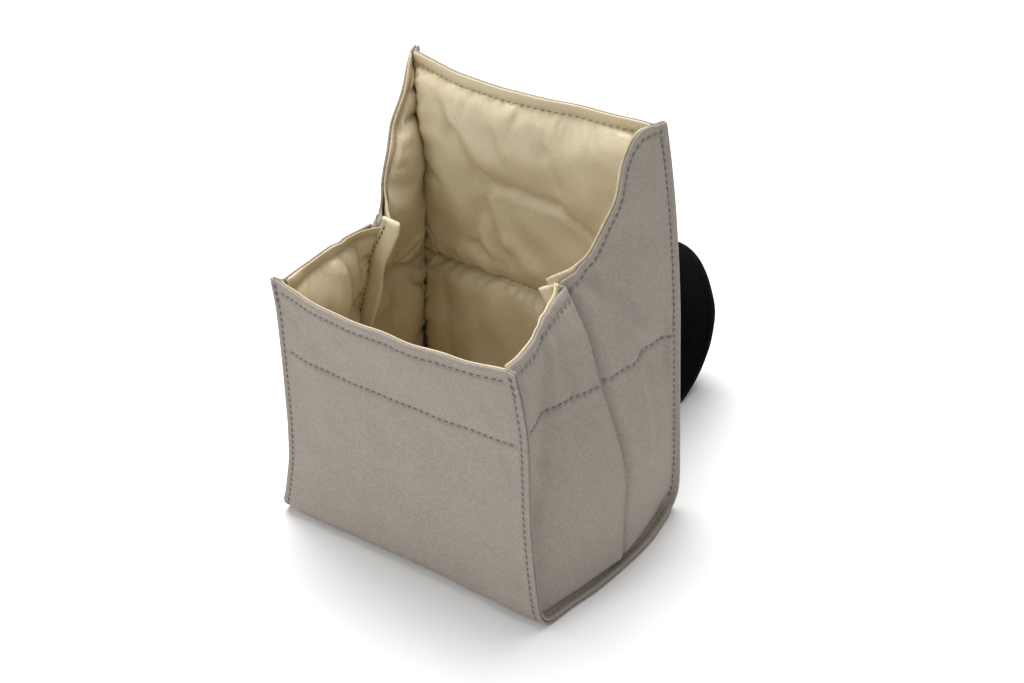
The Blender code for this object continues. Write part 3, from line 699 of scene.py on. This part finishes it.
def settle(face, faces, held, ground):
    """Cloth simulation of one padded panel of satin: the face is held along its stitched lines, grows by the
    gather, is pressed out from the padding, and buckles into puckers. Returns its places, moved no more than
    the cap and never behind the ground."""
    mesh = bpy.data.meshes.new("settling")
    mesh.from_pydata((face * SIMULATED_SCALE).tolist(), [], faces.tolist())
    cloth = bpy.data.objects.new("settling", mesh)
    scene.collection.objects.link(cloth)
    cloth.vertex_groups.new(name="held").add(np.flatnonzero(held).tolist(), 1.0, "REPLACE")
    modifier = cloth.modifiers.new("cloth", "CLOTH")
    settings = modifier.settings
    settings.quality = 3
    settings.mass = 0.03
    settings.tension_stiffness = 12
    settings.compression_stiffness = 12
    settings.shear_stiffness = 4
    settings.bending_stiffness = 0.25
    settings.air_damping = 2
    settings.vertex_group_mass = "held"
    settings.shrink_min = -GATHER
    settings.use_pressure = True
    settings.uniform_pressure_force = 4
    settings.effector_weights.gravity = 0
    modifier.point_cache.frame_start = 1
    modifier.point_cache.frame_end = LAST_FRAME
    for number in range(1, LAST_FRAME + 1):
        scene.frame_set(number)
    moved = np.empty(face.size, np.float32)
    settled = cloth.evaluated_get(bpy.context.evaluated_depsgraph_get())
    settled.data.vertices.foreach_get("co", moved)
    scene.frame_set(1)
    bpy.data.objects.remove(cloth)
    move = moved.reshape(-1, 3) / SIMULATED_SCALE - face
    reach = np.linalg.norm(move, axis=1, keepdims=True)
    move = move * MOST_MOVE * np.tanh(reach / MOST_MOVE) / (reach + 1e-9)
    placed = face + move
    inwards = face - ground
    deep = np.linalg.norm(inwards, axis=1, keepdims=True)
    inwards = inwards / deep
    above = np.sum((placed - ground) * inwards, axis=1, keepdims=True)
    return placed + inwards * np.clip(0.0006 - above, 0, None)


LINING_ROWS = 300
LINING_COLUMNS = 100
lining_stations = np.linspace(0, STRIP_LENGTH, LINING_ROWS + 1)
for line in SEWN_LINES:
    lining_stations[np.abs(lining_stations - line).argmin()] = line
lining_stations = lining_stations[:, None]
even = np.linspace(-1, 1, LINING_COLUMNS + 1)
lining_shares = np.sin(np.linspace(-pi / 2, pi / 2, LINING_COLUMNS + 1)) * 0.35 + even * 0.65
ROOM_AT_SIDE = 0.0004
halves = [half_width(lining_stations, hand) for hand in (-1, 1)]
lining_half = np.where(lining_shares < 0, *halves) - ROOM_AT_SIDE
lining_across = lining_half * lining_shares
lining_along = np.broadcast_to(lining_stations, lining_across.shape)
thickness = strip_loft(lining_along, lining_across)
lining_face = strip(lining_along, lining_across, LINING_INSET + thickness).reshape(-1, 3)
lining_ground = strip(lining_along, lining_across, LINING_INSET).reshape(-1, 3)
numbers = np.arange(lining_across.size).reshape(lining_across.shape)
stitched = np.zeros(lining_across.shape, bool)
stitched[:, [0, -1]] = True
stitched[lining_stations[:, 0] <= SEWN_LINES[0] + 1e-6] = True
stitched[lining_stations[:, 0] >= SEWN_LINES[3] - 1e-6] = True
for line in SEWN_LINES[1:3]:
    stitched[np.abs(lining_stations[:, 0] - line) < 1e-6] = True
lining_face = settle(lining_face, quads(numbers), stitched.ravel(), lining_ground)
lining_wrap = sheet_of_cloth(
    "wrap_lining",
    lining_face,
    quads(numbers),
    round_the_edge(numbers),
    TWILL,
    np.stack([lining_across, -lining_along], axis=-1).reshape(-1, 2),
    back=lining_ground,
    marks={"seam": within_lines(lining_along).ravel()},
)
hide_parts("lining_wrap")

# Folds of the side linings in millimetres: line from (y, z) to (y, z), half width, height, lean
SIDE_LINING_FOLDS = {
    ("front", -1): (
        (-8, 112, -11, 78, 2.4, -1.6, 0.0), (-20, 108, -22, 88, 6.0, 1.2, 0.0),
        (-20, 70, -18, 40, 5.0, 1.0, 0.0),
    ),
    ("rear", -1): (
        (20, 118, 30, 92, 5.0, 1.2, 0.0), (14, 104, 22, 84, 3.0, -1.0, 0.0), (30, 66, 26, 30, 5.0, 1.2, 0.0),
        (38, 140, 36, 110, 4.0, 0.8, 0.0),
    ),
    ("front", 1): ((-20, 108, -22, 60, 6.0, 0.8, 0.0),),
    ("rear", 1): ((20, 118, 30, 92, 5.0, 0.8, 0.0),),
}


def half_side_lining(end, side):
    """The padded satin inside a half side: the twill's own surface moved in by its loft."""
    plan = half_side_plan(
        end, side, lambda along: np.full_like(along, SIDE_LINING_INSET), SIDE_ROWS[end], SIDE_COLUMNS
    )[0]
    y, z = plan[..., 0], plan[..., 1]
    corner_gap = np.abs(y - y[:, :1])
    pleat_gap = np.abs(y - y[:, -1:])
    rim_gap = z[-1:] - z
    quilt_gap = np.abs(z - QUILT_HEIGHT)
    base_gap = z - z[:1]
    behind = PLEAT_LIP * np.clip(1 - pleat_gap / 0.009, 0, 1) ** 2
    loft = pillow(quilt_gap, np.abs(rim_gap - HEM_LINE))
    loft = loft * pillow(corner_gap, pleat_gap) * pillow(base_gap, 1.0)
    loft = np.where(rim_gap < HEM_LINE, 0, loft)
    seed = 40 + (end == "front") + 2 * (side > 0)
    gathers = puckers(z, corner_gap, seed) + 0.6 * puckers(z, pleat_gap, seed + 10)
    gathers = gathers + puckers(y, quilt_gap, seed + 20) + 0.6 * puckers(y, rim_gap, seed + 30)
    room = np.clip(np.minimum(corner_gap, pleat_gap) / 0.008, 0, 1)
    room = room * np.clip(quilt_gap / 0.006, 0, 1) * np.clip(rim_gap / 0.01, 0, 1)
    broad = SATIN_WAVER * unevenness(y, z, 0.03, seed)
    broad = broad + MM * folds(SIDE_LINING_FOLDS[end, side], y / MM, z / MM)
    loft = SEAM_LOFT + (FULL_LOFT - SEAM_LOFT) * loft + GATHER_HEIGHT * gathers + broad * room
    loft = np.clip(loft, THINNEST, 0.008)
    out = side_out(end, side, y, z) - behind
    face = np.stack([out, y, z], axis=-1)
    slope = np.cross(np.gradient(face, axis=1), np.gradient(face, axis=0))
    lean = np.clip(np.abs(slope[..., 0]) / np.linalg.norm(slope, axis=-1), 0.6, 1)
    ground = face.copy()
    ground[..., 0] -= LINING_INSET / lean
    face[..., 0] -= (LINING_INSET + loft) / lean
    numbers = np.arange(y.size).reshape(y.shape)[:, ::-1]
    faces, border = quads(numbers), round_the_edge(numbers)
    if (end == "rear") != (side < 0):
        faces, border = faces[:, ::-1], border[::-1]
    face, ground = (face * (side, 1, 1)).reshape(-1, 3), (ground * (side, 1, 1)).reshape(-1, 3)
    held = np.minimum.reduce([corner_gap, pleat_gap, base_gap]) < TOUCHING
    held = held | (rim_gap < HEM_LINE) | (quilt_gap < HALF_CELL)
    face = settle(face, faces, held.ravel(), ground)
    name = f"side_lining_{end}_{'right' if side > 0 else 'left'}"
    signed = np.minimum(rim_gap - HEM_LINE, z - QUILT_HEIGHT)
    return sheet_of_cloth(
        name, face, faces, border, TWILL, plan.reshape(-1, 2), back=ground, marks={"seam": signed.ravel()}
    )


satin_sides = []
for side, hand in ((1, "right"), (-1, "left")):
    for end in ("front", "rear"):
        piece = half_side_lining(end, side)
        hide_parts(f"lining_side_{end}_{hand}")
        satin_sides.append(piece)


# Binding tape: cream cotton tape folded round the raw edges of each pleat's seam inside the pouch, and sewn
# through along its seam side. It stands on edge, and its cut top end sticks up past the rim.
TAPE_WIDTH = 0.0088
TAPE_WALL = 0.0019
TAPE_BEHIND_CREASE = 0.0046
TAPE_TOP = {1: 0.1190, -1: 0.1205}
TAPE_ROWS = 110
TAPE_ROUND = 28


def tape_line(side, z):
    """(middle plane distance, height) of the tape's seam edge, and the way it stands in from there."""
    root = np.stack([crease(np.clip(z, 0, PLEAT_HEIGHT)) - TAPE_BEHIND_CREASE, z], axis=-1)
    slope = np.gradient(root, axis=0)
    slope = slope / np.linalg.norm(slope, axis=-1, keepdims=True)
    return root, np.stack([-slope[:, 1], slope[:, 0]], axis=-1)


def tape_wave(z, reach):
    """Sideways bend of the tape: it snakes a little, more at its free edge."""
    share = reach / TAPE_WIDTH
    return 0.0007 * np.sin(z / 0.011) * share + 0.0004 * np.sin(z / 0.0042) * share**2


def tape(side):
    """Folded tape: a long rounded section carried up behind the crease, square to the crease's slope."""
    z = np.linspace(0.0145, TAPE_TOP[side], TAPE_ROWS + 1)
    root, inward = tape_line(side, z)
    turn = np.linspace(0, 2 * pi, TAPE_ROUND, endpoint=False)
    wide = np.sign(np.cos(turn)) * np.abs(np.cos(turn)) ** 0.3
    thick = np.sign(np.sin(turn)) * np.abs(np.sin(turn)) ** 0.6
    reach = TAPE_WIDTH * (0.5 + 0.5 * wide)
    wave = tape_wave(z[:, None], reach)
    x = root[:, :1] + inward[:, :1] * reach
    up = root[:, 1:] + inward[:, 1:] * reach
    sewn = 1 - 0.3 * np.exp(-(((reach - TAPE_WIDTH / 4) / 0.0012) ** 2))
    y = PLEAT_PLACE + wave + TAPE_WALL / 2 * thick * sewn * (1 + 0.12 * np.sin(z / 0.0031 + side)[:, None])
    points = np.stack([side * x, y, up], axis=-1)
    numbers = np.arange(points.shape[0] * TAPE_ROUND).reshape(points.shape[:2])
    around = np.concatenate([numbers, numbers[:, :1]], axis=1)
    faces = quads(around).tolist() + [numbers[0, ::-1].tolist(), numbers[-1].tolist()]
    if side > 0:
        faces = [face[::-1] for face in faces]
    mesh = bpy.data.meshes.new("pleat_tape")
    mesh.from_pydata(points.reshape(-1, 3).tolist(), [], faces)
    flat = np.stack(np.broadcast_arrays(reach, z[:, None]), axis=-1)
    corners = np.empty(len(mesh.loops), int)
    mesh.loops.foreach_get("vertex_index", corners)
    mesh.uv_layers.new(name="cloth").data.foreach_set("uv", flat.reshape(-1, 2)[corners].ravel())
    sewn = np.broadcast_to(reach - TAPE_WIDTH / 4, points.shape[:2]).ravel().astype(np.float32)
    mesh.attributes.new("seam", "FLOAT", "POINT").data.foreach_set("value", sewn)
    mesh.shade_smooth()
    piece = bpy.data.objects.new(f"pleat_tape_{'right' if side > 0 else 'left'}", mesh)
    scene.collection.objects.link(piece)
    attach(piece, "root")
    return piece


tapes = []
for side, hand in ((1, "right"), (-1, "left")):
    piece = tape(side)
    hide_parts(f"binding_{hand}")
    tapes.append(piece)


# Belt loop: a length of wide black ribbed webbing, sewn flat to the back at both ends. It bulges out behind
# and rests on the floor, and a belt or a bag strap runs through it.
WEBBING_WIDTH = 0.050
WEBBING = 0.002
LOOP_REACH = 0.088
LOOP_HEIGHT = 0.093
LOOP_ROUTE = (
    (0.00, 0.66), (0.00, 0.84), (0.02, 0.91), (0.09, 0.97), (0.21, 1.00), (0.36, 0.995), (0.50, 0.96),
    (0.63, 0.895), (0.76, 0.80), (0.88, 0.66), (0.96, 0.50), (1.00, 0.34), (0.97, 0.21), (0.89, 0.10),
    (0.79, 0.03), (0.70, 0.00), (0.36, 0.00), (0.16, 0.005), (0.08, 0.035), (0.03, 0.09), (0.00, 0.17),
    (0.00, 0.36),
)
LOOP_ROWS = 200
LOOP_COLUMNS = 32
reach, height = np.array(LOOP_ROUTE).T
route_y = BACK_PLANE + PLY_GAP + WEBBING / 2 + (LOOP_REACH - WEBBING) * reach
route_z = WEBBING / 2 + (LOOP_HEIGHT - WEBBING) * height
travel = np.concatenate([[0], np.cumsum(np.hypot(np.diff(route_y), np.diff(route_z)))])
loop_run = np.linspace(0, travel[-1], LOOP_ROWS + 1)
loop_y = curve(np.stack([travel, route_y], axis=-1), loop_run)
loop_z = curve(np.stack([travel, route_z], axis=-1), loop_run)
loop_x = np.linspace(-WEBBING_WIDTH / 2, WEBBING_WIDTH / 2, LOOP_COLUMNS + 1)
middle = np.stack([loop_y, loop_z], axis=-1)
heading = np.gradient(middle, axis=0)
heading /= np.linalg.norm(heading, axis=1, keepdims=True)
out_y, out_z = -heading[:, 1:], heading[:, :1]
grid_x = np.broadcast_to(loop_x, (LOOP_ROWS + 1, LOOP_COLUMNS + 1))
face_y = loop_y[:, None] - out_y * WEBBING / 2
face_z = loop_z[:, None] - out_z * WEBBING / 2
face = np.stack(np.broadcast_arrays(grid_x, face_y, face_z), axis=-1)
numbers = np.arange(grid_x.size).reshape(grid_x.shape)
belt_loop = sheet_of_cloth(
    "belt_webbing",
    face.reshape(-1, 3),
    quads(numbers)[:, ::-1],
    round_the_edge(numbers)[::-1],
    WEBBING,
    np.stack([grid_x, np.broadcast_to(loop_run[:, None], grid_x.shape)], axis=-1).reshape(-1, 2),
    marks={"seam": (WEBBING_WIDTH / 2 - 0.0015 - np.abs(grid_x)).ravel()},
)
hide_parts("belt_loop")


# Sewing: lockstitch in grey thread along the hems, the quilting lines and the fins of the twill, in tan
# thread on the lining, in brown on the tape and in black on the webbing. Each stitch is a short bent thread
# with sunk ends.
STITCH_PITCH = 0.0028
STITCH_LENGTH = 0.0023
THREAD = 0.00023
STITCH_RINGS = 7
THREAD_SIDES = 6


def stitches(runs, lift=0.00022, sunk=0.00035, slant=0.10):
    """Points and faces of a row of stitches on each run, a line of places with their normals: a tube whose
    middle stands up by the lift and whose ends dip by the fourth power of the share from its middle."""
    points, faces, count = [], [], 0
    for line, normal in runs:
        travel = np.concatenate([[0], np.cumsum(np.linalg.norm(np.diff(line, axis=0), axis=1))])
        number = int(travel[-1] / STITCH_PITCH)
        share = np.linspace(0, 1, STITCH_RINGS)
        start = (np.arange(number) + 0.5) * travel[-1] / number - STITCH_LENGTH / 2
        at = start[:, None] + STITCH_LENGTH * share
        place = np.stack([np.interp(at, travel, line[:, axis]) for axis in range(3)], axis=-1)
        up = np.stack([np.interp(at, travel, normal[:, axis]) for axis in range(3)], axis=-1)
        up /= np.linalg.norm(up, axis=-1, keepdims=True)
        heading = np.gradient(place, axis=1)
        sideways = np.cross(up, heading)
        sideways /= np.linalg.norm(sideways, axis=-1, keepdims=True) + 1e-12
        dip = np.abs(2 * share - 1)[None, :, None] ** 4
        aslant = ((share - 0.5) * slant * STITCH_LENGTH)[None, :, None]
        middle = place + up * (lift - (lift + sunk) * dip) + sideways * aslant
        turn = np.linspace(0, 2 * pi, THREAD_SIDES, endpoint=False)[:, None]
        ring = np.cos(turn) * sideways[:, :, None] + np.sin(turn) * up[:, :, None]
        tube = middle[:, :, None] + THREAD * ring * np.sqrt(1 - 0.7 * dip[..., None])
        numbers = count + np.arange(number * STITCH_RINGS * THREAD_SIDES).reshape(tube.shape[:3])
        following = np.roll(numbers, -1, axis=2)
        walls = np.stack([numbers[:, :-1], numbers[:, 1:], following[:, 1:], following[:, :-1]], axis=-1)
        points.append(tube.reshape(-1, 3))
        faces += walls.reshape(-1, 4).tolist() + numbers[:, 0].tolist() + numbers[:, -1, ::-1].tolist()
        count += tube.shape[0] * tube.shape[1] * tube.shape[2]
    return np.concatenate(points), faces


def sewing(name, runs, **settings):
    """One piece of all the stitches on the given runs."""
    points, faces = stitches(runs, **settings)
    mesh = bpy.data.meshes.new(name)
    mesh.from_pydata(points.tolist(), [], faces)
    mesh.shade_smooth()
    piece = bpy.data.objects.new(name, mesh)
    scene.collection.objects.link(piece)
    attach(piece, "root")
    return piece


def on_strip(along, across, inset=0.0, facing=1):
    """A run over the strip: its places and its outward or inward normals."""
    along, across = np.broadcast_arrays(np.asarray(along, float), np.asarray(across, float))
    nudge = 0.0004
    down = strip(along + nudge, across, inset) - strip(along - nudge, across, inset)
    sideways = strip(along, across + nudge, inset) - strip(along, across - nudge, inset)
    normal = np.cross(down, sideways)
    return strip(along, across, inset), facing * normal / np.linalg.norm(normal, axis=1, keepdims=True)


def on_side(end, side, y, z):
    """A run over a half side's field."""
    nudge = 0.0004
    across = (side_out(end, side, y + nudge, z) - side_out(end, side, y - nudge, z)) / (2 * nudge)
    upwards = (side_out(end, side, y, z + nudge) - side_out(end, side, y, z - nudge)) / (2 * nudge)
    normal = np.stack([side * np.ones_like(y), -across, -upwards], axis=-1)
    place = np.stack([side * side_out(end, side, y, z), y, z], axis=-1)
    return place, normal / np.linalg.norm(normal, axis=1, keepdims=True)


def on_side_fin(side, along, share):
    """A run over the side's own face of a fin, at a share of its width from the root."""
    _, _, angle = path(along)
    turn = FIN_TURN * section("turn", along)
    out, y, z = seam(along, side)
    way = np.stack([np.cos(turn), -np.cos(angle) * np.sin(turn), -np.sin(angle) * np.sin(turn)], axis=-1)
    line = np.stack([out, y, z], axis=-1) + way * FIN * share
    normal = np.cross(way, np.gradient(line, axis=0))
    normal /= np.linalg.norm(normal, axis=1, keepdims=True)
    return line * (side, 1, 1), normal * (side, 1, 1)


def hem_across(along, share, count=260):
    """A level row of places across the strip, between the two sides' seams."""
    return np.linspace(-half_width(along, -1), half_width(along, 1), count) * share


runs = []
for line in SEWN_LINES:
    runs.append(on_strip(np.full(260, line), hem_across(np.array(line), 0.985)))
for side in (1, -1):
    along = np.linspace(0.001, FRONT_CORNER - 0.002, 300)
    runs.append(on_strip(along, side * (half_width(along, side) + FIN * 0.45)))
    runs.append(on_strip(along[:26], side * (half_width(along[:26], side) + FIN * 0.62)))
    along = np.linspace(BASE_RUN + 0.012, STRIP_LENGTH - 0.001, 400)
    runs.append(on_strip(along, side * (half_width(along, side) + FIN * 0.45)))
    runs.append(on_side_fin(side, np.linspace(BACK_ARC - 0.004, STRIP_LENGTH - 0.001, 400), 0.30))
    runs.append(on_side_fin(side, np.linspace(FRONT_ARC - 0.004, BASE_RUN + 0.004, 260), 0.55))
    for end in ("front", "rear"):
        first, last = (-0.0445, 0.0002) if end == "front" else (0.0022, 0.0445)
        y = np.linspace(first, last, 160)
        runs.append(on_side(end, side, y, rim_height(end, side, y) - HEM_LINE))
        first, last = (-0.043, 0.0) if end == "front" else (0.0032, 0.0425)
        y = np.linspace(first, last, 160)
        runs.append(on_side(end, side, y, np.full_like(y, QUILT_HEIGHT)))
twill_stitches = sewing("twill_stitches", runs)

runs = []
for line in SEWN_LINES:
    across = hem_across(np.array(line), 0.97)
    loft = strip_loft(np.full(260, line), across)
    place, normal = on_strip(np.full(260, line), across, LINING_INSET, -1)
    runs.append((place + normal * loft[:, None], normal))
lining_stitches = sewing("lining_stitches", runs)

runs = []
for side in (1, -1):
    z = np.linspace(0.016, TAPE_TOP[side] - 0.002, 200)
    root, inward = tape_line(side, z)
    spot = root + inward * TAPE_WIDTH / 4
    for facing in (1, -1):
        y = PLEAT_PLACE + tape_wave(z, TAPE_WIDTH / 4) + facing * TAPE_WALL / 2 * 0.72
        place = np.stack([side * spot[:, 0], y, spot[:, 1]], axis=-1)
        runs.append((place, np.broadcast_to([0.0, facing, 0.0], place.shape)))
tape_stitches = sewing("tape_stitches", runs)

runs = []
for at in (0.004, 0.011, travel[-1] - 0.011, travel[-1] - 0.004):
    x = np.linspace(-0.47, 0.47, 120) * WEBBING_WIDTH
    y = np.interp(at, loop_run, loop_y) + WEBBING / 2
    z = np.interp(at, loop_run, loop_z)
    place = np.stack(np.broadcast_arrays(x, y, z), axis=-1)
    runs.append((place, np.broadcast_to([0.0, 1.0, 0.0], place.shape)))
webbing_stitches = sewing("webbing_stitches", runs)


# Finishes. Every cloth reads its own map, "cloth", which gives places on the flat cloth in metres, and
# "seam", the distance from the nearest row of stitches.
def group(name, inputs, outputs):
    """A new node group with float inputs (a vector where the default is None) and float outputs."""
    made = bpy.data.node_groups.new(name, "ShaderNodeTree")
    for label, value in inputs.items():
        kind = "NodeSocketVector" if value is None else "NodeSocketFloat"
        socket = made.interface.new_socket(name=label, in_out="INPUT", socket_type=kind)
        if value is not None:
            socket.default_value = value
    for label in outputs:
        made.interface.new_socket(name=label, in_out="OUTPUT", socket_type="NodeSocketFloat")
    return made, made.nodes.new("NodeGroupInput").outputs, made.nodes.new("NodeGroupOutput").inputs


def wire(tree, socket, value):
    """Links a socket to an output, or gives it a value."""
    if isinstance(value, bpy.types.NodeSocket):
        tree.links.new(value, socket)
    else:
        socket.default_value = value


def node(tree, kind, inputs, output=0, **settings):
    """A new node with its settings and inputs. Returns one of its outputs."""
    made = tree.nodes.new(kind)
    for label, value in settings.items():
        setattr(made, label, value)
    for key, value in inputs.items():
        wire(tree, made.inputs[key], value)
    return made.outputs[output]


def wave_of(tree, turns):
    """A cosine of a number of turns, lifted to run from none to one."""
    cosine = calculate(tree, "COSINE", calculate(tree, "MULTIPLY", turns, 2 * pi))
    return calculate(tree, "MULTIPLY_ADD", cosine, 0.5, 0.5)


def calculate(tree, operation, *values):
    """A math node on one, two or three values."""
    return node(tree, "ShaderNodeMath", dict(enumerate(values)), operation=operation)


# Weave: ridges of yarn at a slant, broken into segments, a little irregular
weave, given, result = group(
    "weave",
    {"Place": None, "Pitch": 0.001, "Slant": 1.0, "Segment": 0.7, "Break": 0.4, "Waver": 0.25},
    ("Height", "Yarn"),
)
noise = node(weave, "ShaderNodeTexNoise", {"Vector": given["Place"], "Scale": 260.0, "Detail": 2.0}, "Fac")
waver = calculate(weave, "MULTIPLY", calculate(weave, "SUBTRACT", noise, 0.5), given["Waver"])
parts = weave.nodes.new("ShaderNodeSeparateXYZ")
weave.links.new(given["Place"], parts.inputs[0])
across = calculate(weave, "DIVIDE", parts.outputs[0], given["Pitch"])
upwards = calculate(weave, "DIVIDE", parts.outputs[1], given["Pitch"])
slanted = calculate(weave, "SUBTRACT", across, calculate(weave, "MULTIPLY", upwards, given["Slant"]))
slanted = calculate(weave, "ADD", slanted, waver)
rib = wave_of(weave, slanted)
crossing = calculate(weave, "ADD", across, upwards)
crossing = calculate(weave, "DIVIDE", crossing, given["Segment"])
number = calculate(weave, "ROUND", slanted)
crossing = calculate(weave, "MULTIPLY_ADD", number, 0.37, crossing)
gap = calculate(weave, "SUBTRACT", 1.0, wave_of(weave, crossing))
broken = calculate(weave, "SUBTRACT", 1.0, calculate(weave, "MULTIPLY", given["Break"], gap))
weave.links.new(calculate(weave, "MULTIPLY", rib, broken), result["Height"])
cell = node(weave, "ShaderNodeCombineXYZ", {0: number, 1: calculate(weave, "ROUND", crossing)})
weave.links.new(node(weave, "ShaderNodeTexWhiteNoise", {"Vector": cell}, "Value"), result["Yarn"])

# Handled cloth: soft patches where the cloth took the dye or the light a little differently
handled, given, result = group("handled cloth", {"Place": None, "Size": 0.03}, ("Patches",))
fineness = calculate(handled, "DIVIDE", 1.0, given["Size"])
cloudy = {"Vector": given["Place"], "Scale": fineness, "Detail": 4.0, "Roughness": 0.6}
handled.links.new(node(handled, "ShaderNodeTexNoise", cloudy, "Fac"), result["Patches"])

# Sewn line: the dent that a row of stitches pulls into the cloth, and painted shade in that dent
sewn_line, given, result = group(
    "sewn line",
    {"Place": None, "Distance": 0.01, "Fin Distance": 0.01, "Width": 0.0011},
    ("Dent", "Painted Seam Shade"),
)
distances = [calculate(sewn_line, "ABSOLUTE", given[key]) for key in ("Distance", "Fin Distance")]
share = calculate(sewn_line, "DIVIDE", calculate(sewn_line, "MINIMUM", *distances), given["Width"])
square = calculate(sewn_line, "MULTIPLY", share, share)
bell = calculate(sewn_line, "EXPONENT", calculate(sewn_line, "MULTIPLY", square, -1.0))
speckle = {"Vector": given["Place"], "Scale": 330.0, "Detail": 1.0}
rough = node(sewn_line, "ShaderNodeTexNoise", speckle, "Fac")
uneven = calculate(sewn_line, "MULTIPLY_ADD", rough, 1.2, 0.4)
sewn_line.links.new(calculate(sewn_line, "MULTIPLY", bell, uneven), result["Dent"])
# The second output is painted shade: it darkens the colour along the stitched dent, where shade falls.
sewn_line.links.new(bell, result["Painted Seam Shade"])


def use(tree, shared, inputs):
    """A group's node in a tree."""
    made = tree.nodes.new("ShaderNodeGroup")
    made.node_tree = shared
    for key, value in inputs.items():
        wire(tree, made.inputs[key], value)
    return made.outputs


def cloth(
    name, dark, light, weave_settings, relief, roughness,
    patches=0.3, dent=0.00035, painted_seam_shade=0.25, fins=False, **shader_values,
):
    """A cloth's material: its colour runs from dark to light over the weave's height, which paints shade into
    the grooves between the ribs, over the yarns and over the patches, and painted shade darkens it in the
    sewn line;
    its bump is the weave's relief with the sewn line's dent."""
    made = bpy.data.materials.new(name)
    made.use_nodes = True
    tree = made.node_tree
    shader = tree.nodes["Principled BSDF"]
    place = node(tree, "ShaderNodeUVMap", {}, uv_map="cloth")
    distance = node(tree, "ShaderNodeAttribute", {}, "Fac", attribute_name="seam")
    woven = use(tree, weave, {"Place": place, **weave_settings})
    soft = use(tree, handled, {"Place": place, "Size": 0.03})
    fin = node(tree, "ShaderNodeAttribute", {}, "Fac", attribute_name="fin") if fins else 1.0
    sewn = use(tree, sewn_line, {"Place": place, "Distance": distance, "Fin Distance": fin})
    yarns = calculate(tree, "MULTIPLY", woven["Yarn"], 0.38 - patches / 2)
    # Painted shade: the colour follows the weave's height, darker in the grooves between the ribs and lighter
    # on their tops.
    tone_with_painted_shade = calculate(tree, "MULTIPLY_ADD", woven["Height"], 0.62 - patches / 2, yarns)
    tone_with_painted_shade = calculate(tree, "MULTIPLY_ADD", soft["Patches"], patches, tone_with_painted_shade)
    # Painted shade: the colour darkens along the sewn line's dent.
    tone_with_painted_shade = calculate(tree, "SUBTRACT", tone_with_painted_shade, calculate(tree, "MULTIPLY", sewn["Painted Seam Shade"], painted_seam_shade))
    colour = node(tree, "ShaderNodeMix", {0: tone_with_painted_shade, 6: (*dark, 1), 7: (*light, 1)}, 2, data_type="RGBA")
    tree.links.new(colour, shader.inputs["Base Color"])
    shader.inputs["Roughness"].default_value = roughness
    for key, value in shader_values.items():
        shader.inputs[key.replace("_", " ")].default_value = value
    raised = calculate(tree, "MULTIPLY", woven["Height"], relief)
    height = calculate(tree, "SUBTRACT", raised, calculate(tree, "MULTIPLY", sewn["Dent"], dent))
    bump = node(tree, "ShaderNodeBump", {"Height": height, "Distance": 1.0})
    tree.links.new(bump, shader.inputs["Normal"])
    return made


# Every cloth below has painted shade in its colour: darker in the grooves between its weave's ribs, and
# darker along its rows of stitches by its painted seam shade amount.
grey_twill = cloth(
    "grey twill", (0.272, 0.239, 0.206), (0.42, 0.371, 0.32),
    {"Pitch": 0.00134, "Slant": 1.0, "Segment": 0.9, "Break": 0.4, "Waver": 0.45}, 0.00005, 0.92,
    patches=0.2, painted_seam_shade=0.16, fins=True, Specular_IOR_Level=0.25,
)
khaki_satin = cloth(
    "khaki satin", (0.49, 0.405, 0.255), (0.73, 0.625, 0.43),
    {"Pitch": 0.0005, "Slant": 0.4, "Segment": 1.4, "Break": 0.2, "Waver": 0.5}, 0.000004, 0.37,
    dent=0.0004, painted_seam_shade=0.45, Specular_IOR_Level=0.6,
)
cream_tape = cloth(
    "cream tape", (0.66, 0.57, 0.37), (0.94, 0.87, 0.65),
    {"Pitch": 0.0008, "Slant": 0.0, "Segment": 0.9, "Break": 0.5, "Waver": 0.3}, 0.00008, 0.85,
    painted_seam_shade=0.5,
)
black_webbing = cloth(
    "black webbing", (0.004, 0.004, 0.0035), (0.016, 0.016, 0.013),
    {"Pitch": 0.0016, "Slant": 0.12, "Segment": 1.1, "Break": 0.6, "Waver": 0.2}, 0.0002, 0.95,
    Specular_IOR_Level=0.08,
)


def thread(name, colour):
    """A spun thread: one colour, matt."""
    made = bpy.data.materials.new(name)
    made.use_nodes = True
    shader = made.node_tree.nodes["Principled BSDF"]
    shader.inputs["Base Color"].default_value = (*colour, 1)
    shader.inputs["Roughness"].default_value = 0.7
    return made


for piece in [outer_wrap, *twill_sides]:
    piece.data.materials.append(grey_twill)
for piece in [lining_wrap, *satin_sides]:
    piece.data.materials.append(khaki_satin)
for piece in tapes:
    piece.data.materials.append(cream_tape)
belt_loop.data.materials.append(black_webbing)
twill_stitches.data.materials.append(thread("grey thread", (0.185, 0.178, 0.182)))
lining_stitches.data.materials.append(thread("tan thread", (0.33, 0.24, 0.12)))
tape_stitches.data.materials.append(thread("brown thread", (0.16, 0.11, 0.05)))
webbing_stitches.data.materials.append(thread("black thread", (0.02, 0.02, 0.02)))
